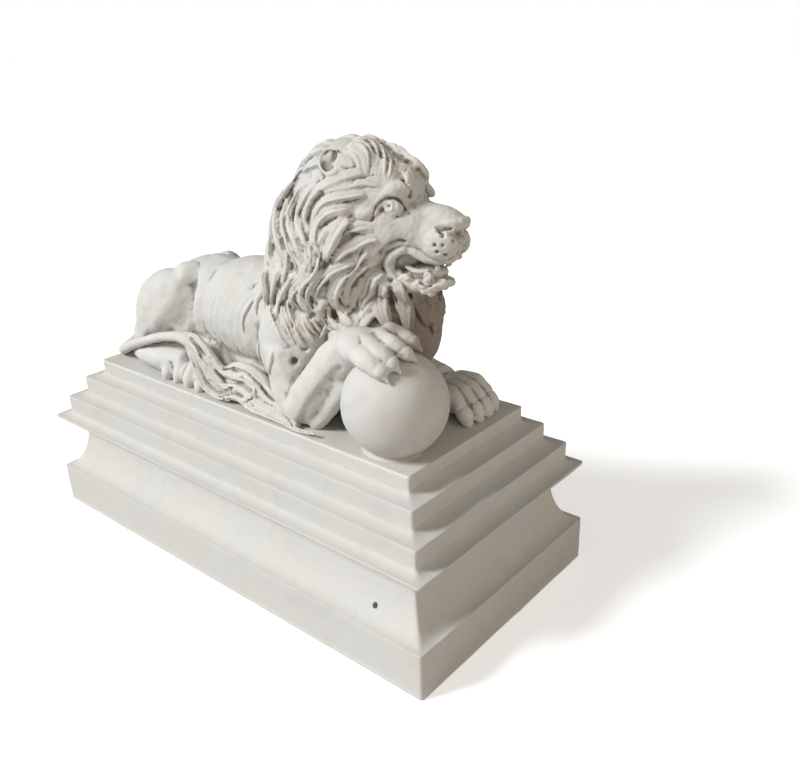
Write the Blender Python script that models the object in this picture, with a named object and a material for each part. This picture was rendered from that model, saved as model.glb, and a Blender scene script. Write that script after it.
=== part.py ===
"""A lion lying on a stepped plinth with its right forepaw on a ball, cast in one piece.

Metres, +Z up. The lion faces +X, its right side is -Y, and the origin is the middle of the
plinth's underside. The plinth is worked out from the figure down: the top slab carries the figure
with a margin, and each step below is wider by its own tread. The figure's masses and locks are
written in figure units, FIGURE_UNITS of which make FIGURE_LENGTH, so pose and proportions stay
shares of the figure's own length.
"""

import math
import random

import bmesh
import bpy
from mathutils import Euler, Matrix, Vector
from mathutils.bvhtree import BVHTree
from mathutils.kdtree import KDTree

# Figure
FIGURE_LENGTH = 0.158          # from the back of the tail to the claws of the left forepaw
FIGURE_UNITS = 158.0           # figure units in that length
FIGURE_SINK = 0.0010           # how far the figure's underside is sunk into the slab

# Plinth, from the top down
SLAB_MARGIN = 0.0036           # slab beyond the figure at each end
SLAB_WIDTH = 0.0626
SLAB_HEIGHT = 0.0049
HOLLOW_DROP = 0.0021           # how far the hollow above each step drops
STEP_TREAD = 0.0059            # how far each step stands out from the one above
STEP_HEIGHT = 0.0061           # the upright face of each step
LIP_TREAD = 0.0046             # the lip beyond the lower step
LIP_HEIGHT = 0.0012
LIP_UNDERCUT = 0.0016          # height of the slant under the lip, back to the top of the cove
COVE_DEPTH = 0.0085            # how far the cove's neck lies behind the lip
COVE_HEIGHT = 0.0212
FILLET_HEIGHT = 0.0020         # the small slant between cove and base block
BASE_STANDOUT = 0.0004         # base block beyond the lip
BASE_HEIGHT = 0.0150
CURVE_FACETS = 6               # straight facets in each hollow moulding

# How finely the figure is skinned
VOXEL = 0.00085
FIGURE_TRIANGLES = 8500
RANDOM_SEED = 7
FACE_REACH = 22.0              # figure units round the muzzle in which the skin keeps smaller facets
COARSENESS = 0.35              # how much coarser the skin is elsewhere, from 0 to 1
BALL_SEGMENTS = 32
BALL_RINGS = 18

UNIT = FIGURE_LENGTH / FIGURE_UNITS
SLAB_LENGTH = FIGURE_LENGTH + 2 * SLAB_MARGIN

# Places in figure units, z = 0 on the slab
BALL = (67.2, -18.6, 16.4, 17.1)   # x, y, z and radius
HEAD_PLACE = (42.0, 1.0, 70.0)
HEAD_TURN = (-4.0, 0.0, 12.0)      # roll, pitch and yaw in degrees
MANE_HEART = Vector((33.0, 0.0, 56.0))


class Shells:
    """Closed shells in figure units, collected before they are skinned as one."""

    def __init__(self):
        self.bm = bmesh.new()

    def mass(self, at, radii, turn=(0, 0, 0), frame=None, detail=3):
        """One ellipsoid. turn is its roll, pitch and yaw in degrees."""
        place = Matrix.LocRotScale(Vector(at), Euler([math.radians(a) for a in turn]), Vector(radii))
        if frame is not None:
            place = frame @ place
        bmesh.ops.create_icosphere(self.bm, subdivisions=detail, radius=1.0, matrix=place)

    def pair(self, at, radii, turn=(0, 0, 0), frame=None, detail=3):
        """An ellipsoid on the right side and its mirror image on the left."""
        for side in (-1, 1):
            mirrored = (-side * turn[0], turn[1], -side * turn[2])
            self.mass((at[0], side * at[1], at[2]), radii, mirrored, frame, detail)

    def limb(self, route, frame=None, sides=12, steps=6, flat=1.0):
        """A round-ended tube through (x, y, z, radius) points, its height flat times its width."""
        if frame is not None:
            route = [(*(frame @ Vector(p[:3])), p[3]) for p in route]
        add_tube(self.bm, smooth_route(route, steps), sides, flat)

    def limbs(self, route, frame=None, sides=12, steps=6, flat=1.0):
        """A limb on the right side and its mirror image on the left."""
        self.limb(route, frame, sides, steps, flat)
        self.limb([(x, -y, z, r) for x, y, z, r in route], frame, sides, steps, flat)


def smooth_route(route, steps):
    """Catmull-Rom points through the route's (x, y, z, radius) points, steps to each stretch."""
    ends = [route[0], *route, route[-1]]
    points = []
    for a, b, c, d in zip(ends, ends[1:], ends[2:], ends[3:]):
        for i in range(steps):
            t = i / steps
            points.append(tuple(
                0.5 * (2 * q + (r - p) * t + (2 * p - 5 * q + 4 * r - s) * t * t
                       + (3 * q - p - 3 * r + s) * t ** 3)
                for p, q, r, s in zip(a, b, c, d)
            ))
    return [*points, tuple(route[-1])]


def add_tube(bm, points, sides, flat=1.0):
    """Rings round the points, joined by side faces and closed at each end by a cone to one point."""
    centres = [Vector(p[:3]) for p in points]
    rings = []
    for i, (centre, point) in enumerate(zip(centres, points)):
        along = (centres[min(i + 1, len(points) - 1)] - centres[max(i - 1, 0)]).normalized()
        across = along.cross(Vector((0, 0, 1)))
        across = across.normalized() if across.length > 1e-4 else Vector((0, 1, 0))
        over = across.cross(along)
        radius = max(point[3], 0.02)
        rings.append([
            bm.verts.new(
                centre
                + across * radius * math.cos(2 * math.pi * k / sides)
                + over * radius * flat * math.sin(2 * math.pi * k / sides)
            )
            for k in range(sides)
        ])
    for ring, above in zip(rings, rings[1:]):
        for k in range(sides):
            bm.faces.new((ring[k], ring[(k + 1) % sides], above[(k + 1) % sides], above[k]))
    for end, inward in ((0, 1), (-1, -2)):
        away = (centres[end] - centres[inward]).normalized() * max(points[end][3], 0.02) * 0.8
        tip = bm.verts.new(centres[end] + away)
        for k in range(sides):
            corners = (rings[end][k], rings[end][(k + 1) % sides], tip)
            bm.faces.new(corners if end else corners[::-1])


def head_frame():
    """The head's own frame: x to the nose, y to the lion's left, z up, at the middle of the skull."""
    return Matrix.LocRotScale(Vector(HEAD_PLACE), Euler([math.radians(a) for a in HEAD_TURN]), None)


def add_trunk(shells):
    """Ribcage, loin, rump, thighs and the belly that meets the slab."""
    shells.mass((-8, 0, 26), (37, 20, 22))
    shells.mass((-36, 0, 24), (30, 16.5, 21))
    shells.mass((-58, 0, 18), (20, 17, 19.5), (0, 12, 0))
    shells.mass((10, 0, 30), (24, 20, 20))
    shells.mass((-20, 0, 7), (50, 17, 12))
    shells.pair((-55, 13, 20), (18, 11, 22), (0, 42, 0))
    shells.pair((-44, 9.5, 35.5), (8.5, 6.5, 8))
    shells.pair((-61, 15, 10), (16, 8.5, 11))


def add_hind_feet(shells):
    """The hind feet, flat on the slab beside the trunk, toes splayed outwards."""
    shells.limbs([(-70, -19, 4.5, 4.5), (-60, -21, 6, 6), (-48, -21.5, 7, 7), (-35, -20.5, 7, 7)], flat=0.9)
    for k in range(4):
        root = (-42 + 4.8 * k, -20.5, 7.0, 3.4)
        knuckle = (-44.5 + 5.6 * k, -25.4 - 0.3 * k, 5.6, 3.0)
        tip = (-46.5 + 6.6 * k, -27.6 - 0.4 * k, 2.0, 2.2)
        shells.limbs([root, knuckle, tip])


def add_forelegs(shells):
    """The shoulders, the left foreleg flat on the slab and the right one raised to the ball."""
    shells.pair((19, 14, 25), (15, 11.5, 19), (0, 18, 0))
    shells.limb([(20, -17, 25, 10), (22, -19, 15, 9), (26, -22, 8, 7.5), (30, -24, 5, 5)])
    shells.limb([
        (29, -23.5, 6, 6.5), (35, -23.5, 13, 7), (43, -22.5, 23, 7), (50, -21.5, 30, 7),
        (57, -20.5, 33, 6.5),
    ])
    shells.limb([(36, -23, 2, 2.4), (43.5, -22, 11, 2.6), (51, -21.5, 22, 2.8)])
    shells.limb([(17, 17, 25, 10), (18, 20, 15, 9.5), (18, 22, 8, 8)])
    shells.limb([(14, 21, 7.5, 7.5), (32, 22.5, 8, 8), (48, 20.5, 8, 7), (58, 17.5, 8, 6.8)])
    shells.mass((65, 15.8, 7), (10, 10, 6.6))
    for k in range(4):
        side = k - 1.5
        shells.limb([
            (62, 15.8 + 4.3 * side, 10.0, 3.2),
            (72.5, 15.8 + 5.2 * side, 8.6, 3.5),
            (78.5 - abs(side), 15.8 + 5.8 * side, 3.2, 2.7),
        ])


def add_ball_paw(shells):
    """The right paw, its four fingers draped over the ball from the top."""
    shells.mass((59, -20.5, 34.0), (10.5, 9.2, 5.6), (0, 8, 5))
    for k in range(4):
        root = Vector((61 + 1.2 * k, -25 + 3.6 * k, 36.5))
        tip = Vector(((74.5, 76.5, 77, 74.5)[k], (-30.5, -26, -20, -14.5)[k], (29, 31, 32, 32.5)[k]))
        middle = (root + tip) / 2 + Vector((0, 0, 2.2))
        shells.limb([(*root, 3.3), (*middle, 3.3), (*tip, 2.6)])


def add_ball_skirt(shells):
    """The low run of cast material where the ball meets the slab."""
    x, y, _, radius = BALL
    shells.mass((x, y, 0.5), (radius * 0.74, radius * 0.72, 3.0))


def add_tail(shells):
    """The tail, round the rump and over the right hind foot, and its tuft on the slab."""
    shells.limb([
        (-64, 0, 12, 5), (-76, -8, 7, 4), (-79.5, -15, 4.5, 3.4), (-78, -22, 5, 2.9), (-66, -25.5, 11, 2.7),
        (-50, -26.3, 16.5, 2.7), (-34, -26.5, 19.5, 2.9), (-23, -26.3, 19, 3.4),
        (-15, -26.3, 13, 4.2), (-7, -26.5, 6, 4.6),
    ])
    for y, z, radius, shift in ((-21.5, 6.5, 3.2, 2), (-25.5, 4.0, 3.4, 0), (-28.6, 2.4, 3.0, -2)):
        shells.limb([
            (-16 + shift, y, z + 5, radius), (-4 + shift, y - 1.0, z + 1, radius),
            (8 + shift, y + 0.8, z, radius * 0.9),
            (20 + shift, y - 1.6, z - 1, radius * 0.8), (32 + shift, y - 1.8, z - 2, radius * 0.6),
        ])


def add_neck(shells):
    """Neck, crown and chest: the ground that the mane's locks lie on."""
    shells.mass((24.5, 0, 46), (22, 21, 31), (0, 17, 0))
    shells.mass((37.0, 0.5, 68), (20.5, 18.5, 23.5))
    shells.mass((34, 0, 56), (19, 22.5, 24))
    shells.mass((44, 1, 28), (19, 19, 22))
    shells.mass((40, 1, 14), (20, 17, 18))
    shells.mass((57, 4, 36), (10, 10, 17), (0, -8, 0))


def add_head(shells):
    """The face, in the head's own frame."""
    frame = head_frame()
    shells.mass((0, 0, 2), (19, 15.5, 17), frame=frame)
    shells.mass((8, 0, 8), (11, 11, 8.5), frame=frame)
    shells.pair((14.5, 6.2, 6.4), (6, 4.6, 3.8), (0, 16, -24), frame=frame)
    shells.pair((10, 9.6, -5), (10, 5.0, 6.0), (0, 6, 12), frame=frame)
    nose = [(12, 0, 3.6, 5.6), (20, 0, 0.6, 5.4), (26, 0, -0.6, 5.6), (30.5, 0, -1.8, 5.0)]
    shells.limb(nose, frame, flat=0.8)
    shells.mass((22, 0, -6), (11, 8.8, 7.6), frame=frame)
    shells.pair((27.3, 4.3, -8.0), (6.5, 5, 6.2), frame=frame)
    shells.mass((31.2, 0, -2.0), (3.2, 5.4, 3.2), (0, 35, 0), frame=frame)
    lip = [(26, 7.2, -12.0, 2.2), (19, 9.4, -12.2, 2.8), (13, 10.6, -13.5, 3.0), (9, 10.6, -18, 2.8)]
    shells.limbs(lip, frame)
    jaw = [(4, 9.5, -20, 4), (14, 7.6, -21.5, 3.2), (23, 4.6, -21, 2.4), (29, 1.5, -19.6, 1.8)]
    shells.limbs(jaw, frame)
    shells.mass((15, 0, -22.5), (12, 7.5, 4.5), (0, -10, 0), frame=frame)
    shells.mass((6, 0, -16), (12, 8, 8), frame=frame)
    shells.mass((18, 0, -17.0), (9, 4.4, 2.6), (0, -8, 0), frame=frame)
    shells.mass((10, 0, -12), (12, 8, 6), frame=frame)


def add_eyes(shells):
    """Eyeballs under heavy upper lids that run back into a ridge."""
    frame = head_frame()
    shells.pair((12.4, 8.6, 2.6), (3.3, 3.1, 3.1), frame=frame)
    ridge = [(17.5, -4.8, 2.6, 0.9), (14.8, -8.8, 5.6, 1.1), (10.2, -11.6, 4.6, 1.3), (4, -14.0, 0.4, 1.9)]
    shells.limbs(ridge, frame, sides=8)
    shells.limbs([(17.5, -5.6, 0.6, 0.7), (13.6, -10.4, -0.8, 0.9), (8.5, -12.6, 0.4, 0.9)], frame, sides=8)


def add_ears(shells):
    """Short round ears low in the mane, each a rim of cartilage round a hollow."""
    frame = head_frame()
    for side in (-1, 1):
        rim = [
            (-5 + 1.6 * math.sin(a), side * (15.8 - 2.0 * math.sin(a)), 14.5 + 4.4 * math.sin(a), 1.4)
            for a in [math.radians(d) for d in range(-120, 121, 30)]
        ]
        rim = [
            (x + 4.0 * math.cos(math.radians(d)), y, z, r)
            for (x, y, z, r), d in zip(rim, range(-120, 121, 30))
        ]
        shells.limb(rim, frame, sides=8, steps=2)


class Chisel:
    """Presses strokes into a skin along its normals."""

    def __init__(self, bm):
        bm.normal_update()
        bm.verts.ensure_lookup_table()
        self.verts = bm.verts
        self.places = KDTree(len(bm.verts))
        for i, vert in enumerate(bm.verts):
            self.places.insert(vert.co, i)
        self.places.balance()

    def stroke(self, route, depth, frame=None, steps=8):
        """Presses depth deep along (x, y, z, radius) points, each moved first to the nearest skin."""
        amounts = {}
        for x, y, z, radius in smooth_route(route, steps):
            point = Vector((x, y, z))
            point, _, _ = self.places.find(frame @ point if frame is not None else point)
            for _, index, distance in self.places.find_range(point, radius):
                amount = depth * (1 - (distance / radius) ** 2) ** 2
                amounts[index] = max(amount, amounts.get(index, 0), key=abs)
        for index, amount in amounts.items():
            vert = self.verts[index]
            vert.co -= vert.normal * amount

    def strokes(self, route, depth, frame=None):
        """A stroke on the right side and its mirror image on the left."""
        self.stroke(route, depth, frame)
        self.stroke([(x, -y, z, r) for x, y, z, r in route], depth, frame)


def object_of(name, bm):
    """A mesh object that holds this bmesh, which is freed."""
    mesh = bpy.data.meshes.new(name)
    bm.to_mesh(mesh)
    bm.free()
    obj = bpy.data.objects.new(name, mesh)
    bpy.context.scene.collection.objects.link(obj)
    return obj


def skinned(name, bm, voxel, smoothing):
    """The shells fused into one skin of even facets, in figure units, as a bmesh."""
    rough = object_of(name, bm)
    remesh = rough.modifiers.new("Skin", "REMESH")
    remesh.mode = "VOXEL"
    remesh.voxel_size = voxel
    remesh.adaptivity = 0.0
    smooth = rough.modifiers.new("Soften", "SMOOTH")
    smooth.factor = 0.5
    smooth.iterations = smoothing
    skin = bmesh.new()
    skin.from_object(rough, bpy.context.evaluated_depsgraph_get())
    mesh = rough.data
    bpy.data.objects.remove(rough)
    bpy.data.meshes.remove(mesh)
    return skin


class Mane:
    """Locks laid on the skin, row behind row from the rim of the face."""

    ROWS = (37, 49, 63, 78, 95, 113, 132)  # degrees from the face's axis at which each row is rooted
    CHEEK_TOP = 62                         # the first row is rooted below this height, behind the mouth
    BEARD_ROOTS = (25, 19, 12, 5)          # how far forward of the skull each row under the jaw is rooted
    BOTTOM = 24                            # locks end at this height and at this far back
    BACK = -6
    SPACING = 7.4                          # between roots in a row
    LENGTHS = (26, 36)
    THICKNESS = (2.7, 3.5)
    FLAT = 0.75
    STEP = 2.2

    def __init__(self, skin, rng):
        self.skin = skin
        self.rng = rng
        self.axis = head_frame().to_3x3() @ Vector((1, 0, -0.08)).normalized()

    def polar(self, point):
        """Degrees between the face's axis and the way from the mane's heart to the point."""
        return math.degrees(self.axis.angle(point - MANE_HEART))

    def flow(self, point, normal):
        """The way the hair runs: away from the face, and more and more downwards."""
        away = (point - MANE_HEART).normalized()
        back = (away * self.axis.dot(away) - self.axis).normalized()
        turn = min(max((self.polar(point) - 40) / 70, 0), 1)
        under = min(max((54 - point.z) / 12, 0), 1)
        run = back + Vector((0, 0, -1)) * (0.15 + 1.5 * turn + 2.0 * under)
        return (run - normal * run.dot(normal)).normalized()

    def lock(self, root, length, thickness, phase):
        """(x, y, z, radius) points of one lock, from its root along the flow."""
        points = []
        place, normal = root
        count = int(length / self.STEP)
        for i in range(count + 1):
            share = i / count
            radius = thickness * (math.sin(math.pi * min(0.15 + 0.85 * share, 1)) ** 0.7)
            lift = thickness * (0.05 + 0.4 * math.sin(math.pi * share) - 0.3 * (1 - share))
            points.append((*(place + normal * lift), max(radius, 0.25)))
            wave = math.radians(34) * math.sin(phase + 2 * math.pi * share * 1.1)
            run = Matrix.Rotation(wave, 3, normal) @ self.flow(place, normal)
            place, normal, _, _ = self.skin.find_nearest(place + run * self.STEP)
            if place.z < self.BOTTOM or place.x < self.BACK:
                points[-1] = (*points[-1][:3], 0.4)
                break
        return points

    def add(self, shells):
        """Roots every row and lays its locks, leaving the forelegs and the rear of the trunk bare."""
        side = self.axis.cross(Vector((0, 0, 1))).normalized()
        over = side.cross(self.axis)
        for row, polar in enumerate(self.ROWS):
            polar = math.radians(polar)
            around = int(2 * math.pi * 27 * math.sin(polar) / self.SPACING)
            for k in range(around):
                angle = 2 * math.pi * (k + 0.5 * (row % 2) + self.rng.uniform(-0.2, 0.2)) / around
                lean = polar + math.radians(self.rng.uniform(-4, 4))
                out = over * math.cos(angle) + side * math.sin(angle)
                way = self.axis * math.cos(lean) + out * math.sin(lean)
                place, normal, _, _ = self.skin.ray_cast(MANE_HEART, way)
                if place is None or place.z < self.BOTTOM + 3 or place.x < self.BACK + 4:
                    continue
                if row == 0 and (place.z > self.CHEEK_TOP or place.z < self.CHEEK_TOP - 18):
                    continue
                length = self.rng.uniform(*self.LENGTHS)
                thickness = self.rng.uniform(*self.THICKNESS)
                phase = 2.2 + 0.06 * place.z + self.rng.uniform(-0.6, 0.6)
                points = self.lock((place, normal), length, thickness, phase)
                add_tube(shells.bm, points, 8, self.FLAT)
        self.add_beard(shells)

    def add_beard(self, shells):
        """Locks that hang from under the jaw over the chest."""
        frame = head_frame()
        for row, forward in enumerate(self.BEARD_ROOTS):
            for k in range(-2, 3):
                across = 4.6 * (k + 0.5 * (row % 2)) + self.rng.uniform(-0.6, 0.6)
                root = frame @ Vector((forward - abs(across) * 0.7, across, -25))
                place, normal, _, _ = self.skin.find_nearest(root)
                length = self.rng.uniform(16, 24)
                thickness = self.rng.uniform(2.5, 3.2)
                phase = self.rng.uniform(1.5, 3.5)
                points = self.lock((place, normal), length, thickness, phase)
                add_tube(shells.bm, points, 8, self.FLAT)


def carve_body(skin):
    """The hollow in front of each thigh and the sockets, nostrils and mouth of the face."""
    chisel = Chisel(skin)
    chisel.strokes([(-42, -12, 43, 4), (-38, -17, 33, 7), (-43, -19, 22, 7), (-53, -21, 13, 5)], 3.2)
    frame = head_frame()
    chisel.strokes([(17.5, -5.5, 2.4, 2.6), (13, -9.5, 2.6, 4), (8.5, -12, 1.5, 2.6)], 2.4, frame)
    chisel.strokes([(6, -14, -8, 4), (13, -12, -9, 4), (16, -10.5, -11, 3)], 1.8, frame)


def figure_skin():
    """The lion's masses as one skin in figure units, carved."""
    masses = Shells()
    for add in (add_trunk, add_hind_feet, add_forelegs, add_neck, add_head):
        add(masses)
    skin = skinned("masses", masses.bm, 1.2, 6)
    carve_body(skin)
    return skin


def build_figure():
    """The whole figure in figure units: masses, then locks, tail, paw and eyes on their skin."""
    ground = figure_skin()
    tree = BVHTree.FromBMesh(ground)
    shells = Shells()
    carried = bpy.data.meshes.new("ground")
    ground.to_mesh(carried)
    ground.free()
    shells.bm.from_mesh(carried)
    bpy.data.meshes.remove(carried)
    Mane(tree, random.Random(RANDOM_SEED)).add(shells)
    for add in (add_tail, add_ball_paw, add_ball_skirt, add_eyes, add_ears):
        add(shells)
    figure = skinned("figure_rough", shells.bm, VOXEL / UNIT, 2)
    frame = head_frame()
    chisel = Chisel(figure)
    chisel.strokes([(33.5, -3.0, -3.2, 1.8), (31.0, -5.4, -3.0, 1.8)], 2.0, frame)
    return figure


def plinth_rings():
    """(stand-out from the slab's edge, height) of each level of the plinth, from the slab's top down."""
    rings = [(0.0, 0.0), (0.0, -SLAB_HEIGHT)]
    for tread, height in ((STEP_TREAD, STEP_HEIGHT), (STEP_TREAD, STEP_HEIGHT), (LIP_TREAD, LIP_HEIGHT)):
        out, level = rings[-1]
        for i in range(1, CURVE_FACETS + 1):
            turn = 0.5 * math.pi * i / CURVE_FACETS
            rings.append((out + tread * (1 - math.cos(turn)), level - HOLLOW_DROP * math.sin(turn)))
        out, level = rings[-1]
        rings.append((out, level - height))
    lip_out, lip_under = rings[-1]
    base_out = lip_out + BASE_STANDOUT
    neck_out = lip_out - COVE_DEPTH
    cove_top = lip_under - LIP_UNDERCUT
    for i in range(CURVE_FACETS + 1):
        turn = 0.5 * math.pi * i / CURVE_FACETS
        rings.append((
            neck_out + (base_out - neck_out) * (1 - math.cos(turn)),
            cove_top - COVE_HEIGHT * math.sin(turn) ** 0.9,
        ))
    level = rings[-1][1] - FILLET_HEIGHT
    rings.append((base_out, level))
    rings.append((base_out, level - BASE_HEIGHT))
    return rings


def build_plinth(name):
    """The plinth as stacked rectangles joined by side faces, mitred at the corners."""
    rings = plinth_rings()
    floor = rings[-1][1]
    bm = bmesh.new()
    loops = []
    for out, level in rings:
        x, y = SLAB_LENGTH / 2 + out, SLAB_WIDTH / 2 + out
        turns = ((-1, -1), (1, -1), (1, 1), (-1, 1))
        loops.append([bm.verts.new((sx * x, sy * y, level - floor)) for sx, sy in turns])
    bm.faces.new(loops[0])
    bm.faces.new(loops[-1][::-1])
    for above, below in zip(loops, loops[1:]):
        for k in range(4):
            bm.faces.new((above[(k + 1) % 4], above[k], below[k], below[(k + 1) % 4]))
    return object_of(name, bm)


def build_body(name, top):
    """The figure at its real size on the slab, thinned to facets that stay smallest round the face."""
    figure = build_figure()
    figure.transform(Matrix.Translation((0, 0, top - FIGURE_SINK)) @ Matrix.Scale(UNIT, 4))
    body = object_of(name, figure)
    thin = body.modifiers.new("Thin", "DECIMATE")
    triangles = sum(len(p.vertices) - 2 for p in body.data.polygons)
    thin.ratio = FIGURE_TRIANGLES / triangles
    keep = body.vertex_groups.new(name="coarse")
    face = head_frame() @ Vector((20, 0, -6))
    for vert in body.data.vertices:
        place = (vert.co - Vector((0, 0, top - FIGURE_SINK))) / UNIT
        near = min(1.0, max(0.0, 1.5 - (place - face).length / FACE_REACH))
        keep.add([vert.index], COARSENESS * (1 - near), "REPLACE")
    thin.vertex_group = keep.name
    thin.vertex_group_factor = 1.0
    return body


def build_ball(name, top):
    """The ball, resting a little sunk in the slab."""
    x, y, z, radius = (size * UNIT for size in BALL)
    bm = bmesh.new()
    place = Matrix.Translation((x, y, top + z))
    bmesh.ops.create_uvsphere(
        bm, u_segments=BALL_SEGMENTS, v_segments=BALL_RINGS, radius=radius, matrix=place)
    return object_of(name, bm)


def main():
    for obj in list(bpy.data.objects):
        bpy.data.objects.remove(obj)
    top = -plinth_rings()[-1][1]
    statue = build_plinth("lion_statue")
    for joined in (build_ball("ball", top), build_body("figure", top)):
        joined.hide_render = True
        joined.display_type = "WIRE"
        union = statue.modifiers.new("Union", "BOOLEAN")
        union.operation = "UNION"
        union.solver = "EXACT"
        union.object = joined
    plaster = bpy.data.materials.new("plaster")
    plaster.use_nodes = True
    surface = plaster.node_tree.nodes["Principled BSDF"]
    surface.inputs["Base Color"].default_value = (0.80, 0.78, 0.73, 1)
    surface.inputs["Roughness"].default_value = 0.75
    statue.data.materials.append(plaster)


main()
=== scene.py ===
"""Looks of a plaster lion that lies on a stepped plinth with its right forepaw on a ball.

Shapes are worked out in figure units, millimetres above the slab that the lion lies on. The lion faces +X
and its right side is -Y. Each finished piece is placed in metres in the frame of the CAD model.
"""

import logging
import math
import random
from abc import ABC, abstractmethod
from collections.abc import Iterable, Sequence
from dataclasses import dataclass, field
from enum import Enum
from typing import ClassVar

import bmesh
import bpy
import numpy as np
from mathutils import Euler, Matrix, Vector, noise
from mathutils.bvhtree import BVHTree
from mathutils.kdtree import KDTree


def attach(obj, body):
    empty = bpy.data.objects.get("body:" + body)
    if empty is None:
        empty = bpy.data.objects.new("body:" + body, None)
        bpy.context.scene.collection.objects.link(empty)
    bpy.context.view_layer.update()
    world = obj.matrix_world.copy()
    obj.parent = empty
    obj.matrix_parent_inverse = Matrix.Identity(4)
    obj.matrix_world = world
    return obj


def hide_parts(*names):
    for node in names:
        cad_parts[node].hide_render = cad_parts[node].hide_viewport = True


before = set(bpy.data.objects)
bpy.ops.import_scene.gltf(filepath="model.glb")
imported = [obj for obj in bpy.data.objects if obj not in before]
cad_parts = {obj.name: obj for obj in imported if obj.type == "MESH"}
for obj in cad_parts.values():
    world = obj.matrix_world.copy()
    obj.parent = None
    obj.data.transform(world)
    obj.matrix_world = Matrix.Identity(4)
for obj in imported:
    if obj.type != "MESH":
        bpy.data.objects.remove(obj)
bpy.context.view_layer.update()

logger = logging.getLogger("lion")

Point = tuple[float, float, float, float]
Place = tuple[float, float, float]

FIGURE_FLOOR = 0.0634
FIGURE_UNIT = 0.001
HEAD_PLACE = (42.0, 1.0, 70.0)
HEAD_TURN = (-4.0, 0.0, 12.0)
MANE_HEART = Vector((33.0, 0.0, 56.0))
BALL = (67.2, -18.6, 16.4, 17.1)
# Middle of the painted shade, with some dirt, under the chin, in metres.
CHEST = (0.066, 0.004, 0.097)


class Sides(Enum):
    """Which sides of the lion a shape is made on."""

    RIGHT = (1,)
    BOTH = (1, -1)


def head_frame() -> Matrix:
    """The head's own frame, at the middle of the skull.

    Returns:
        A matrix that takes (forward, left, up) in the head to figure units.
    """
    return Matrix.LocRotScale(Vector(HEAD_PLACE), Euler([math.radians(a) for a in HEAD_TURN]), None)


def smooth_route(route: Sequence[Point], steps: int) -> list[Point]:
    """Runs a smooth curve through a few points.

    Args:
        route: (x, y, z, radius) points.
        steps: How many points each stretch becomes.

    Returns:
        The points along the curve.
    """
    ends = [route[0], *route, route[-1]]
    points = []
    for a, b, c, d in zip(ends, ends[1:], ends[2:], ends[3:]):
        for i in range(steps):
            t = i / steps
            points.append(tuple(
                0.5 * (2 * q + (r - p) * t + (2 * p - 5 * q + 4 * r - s) * t * t + (3 * q - p - 3 * r + s)
                       * t ** 3)
                for p, q, r, s in zip(a, b, c, d)
            ))
    return [*points, tuple(route[-1])]


def drawn_up(bm: bmesh.types.BMesh, top: Iterable[bmesh.types.BMFace]) -> tuple[list, list]:
    """Extrudes faces in place, so that what comes next can be moved or scaled.

    Args:
        bm: The mesh.
        top: The faces at its end.

    Returns:
        The new end faces and their points.
    """
    faces = list(top)
    edges = {edge for face in faces for edge in face.edges}
    grown = bmesh.ops.extrude_face_region(bm, geom=[*faces, *edges])["geom"]
    ends = [g for g in grown if isinstance(g, bmesh.types.BMFace)]
    return ends, [g for g in grown if isinstance(g, bmesh.types.BMVert)]


class BarStock:
    """Straight round bars of unit radius with rings one unit apart, each made once and then bent to
    shape."""

    def __init__(self) -> None:
        """Starts with no bars."""
        self.made: dict[tuple[int, int], bpy.types.Mesh] = {}

    def bar(self, sides: int, rings: int) -> bpy.types.Mesh:
        """A closed bar along +Z with a cone on each end.

        Args:
            sides: Facets round the bar.
            rings: Rings along it.

        Returns:
            The mesh, shared by every call with the same numbers.
        """
        if (sides, rings) in self.made:
            return self.made[sides, rings]
        bm = bmesh.new()
        bmesh.ops.create_circle(bm, cap_ends=True, segments=sides, radius=1.0)
        top = bm.faces[:]
        for _ in range(rings - 1):
            top, verts = drawn_up(bm, top)
            bmesh.ops.translate(bm, verts=verts, vec=(0, 0, 1))
        bm.normal_update()
        caps = [f for f in bm.faces if abs(f.normal.z) > 0.9]
        for tip in bmesh.ops.poke(bm, faces=caps)["verts"]:
            tip.co.z += 0.8 if tip.co.z > 0.5 else -0.8
        bmesh.ops.recalc_face_normals(bm, faces=bm.faces)
        mesh = bpy.data.meshes.new(f"bar_{sides}_{rings}")
        bm.to_mesh(mesh)
        bm.free()
        self.made[sides, rings] = mesh
        return mesh

    def clear(self) -> None:
        """Removes the bars when all the pieces are made."""
        for mesh in self.made.values():
            bpy.data.meshes.remove(mesh)
        self.made.clear()


STOCK = BarStock()


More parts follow.
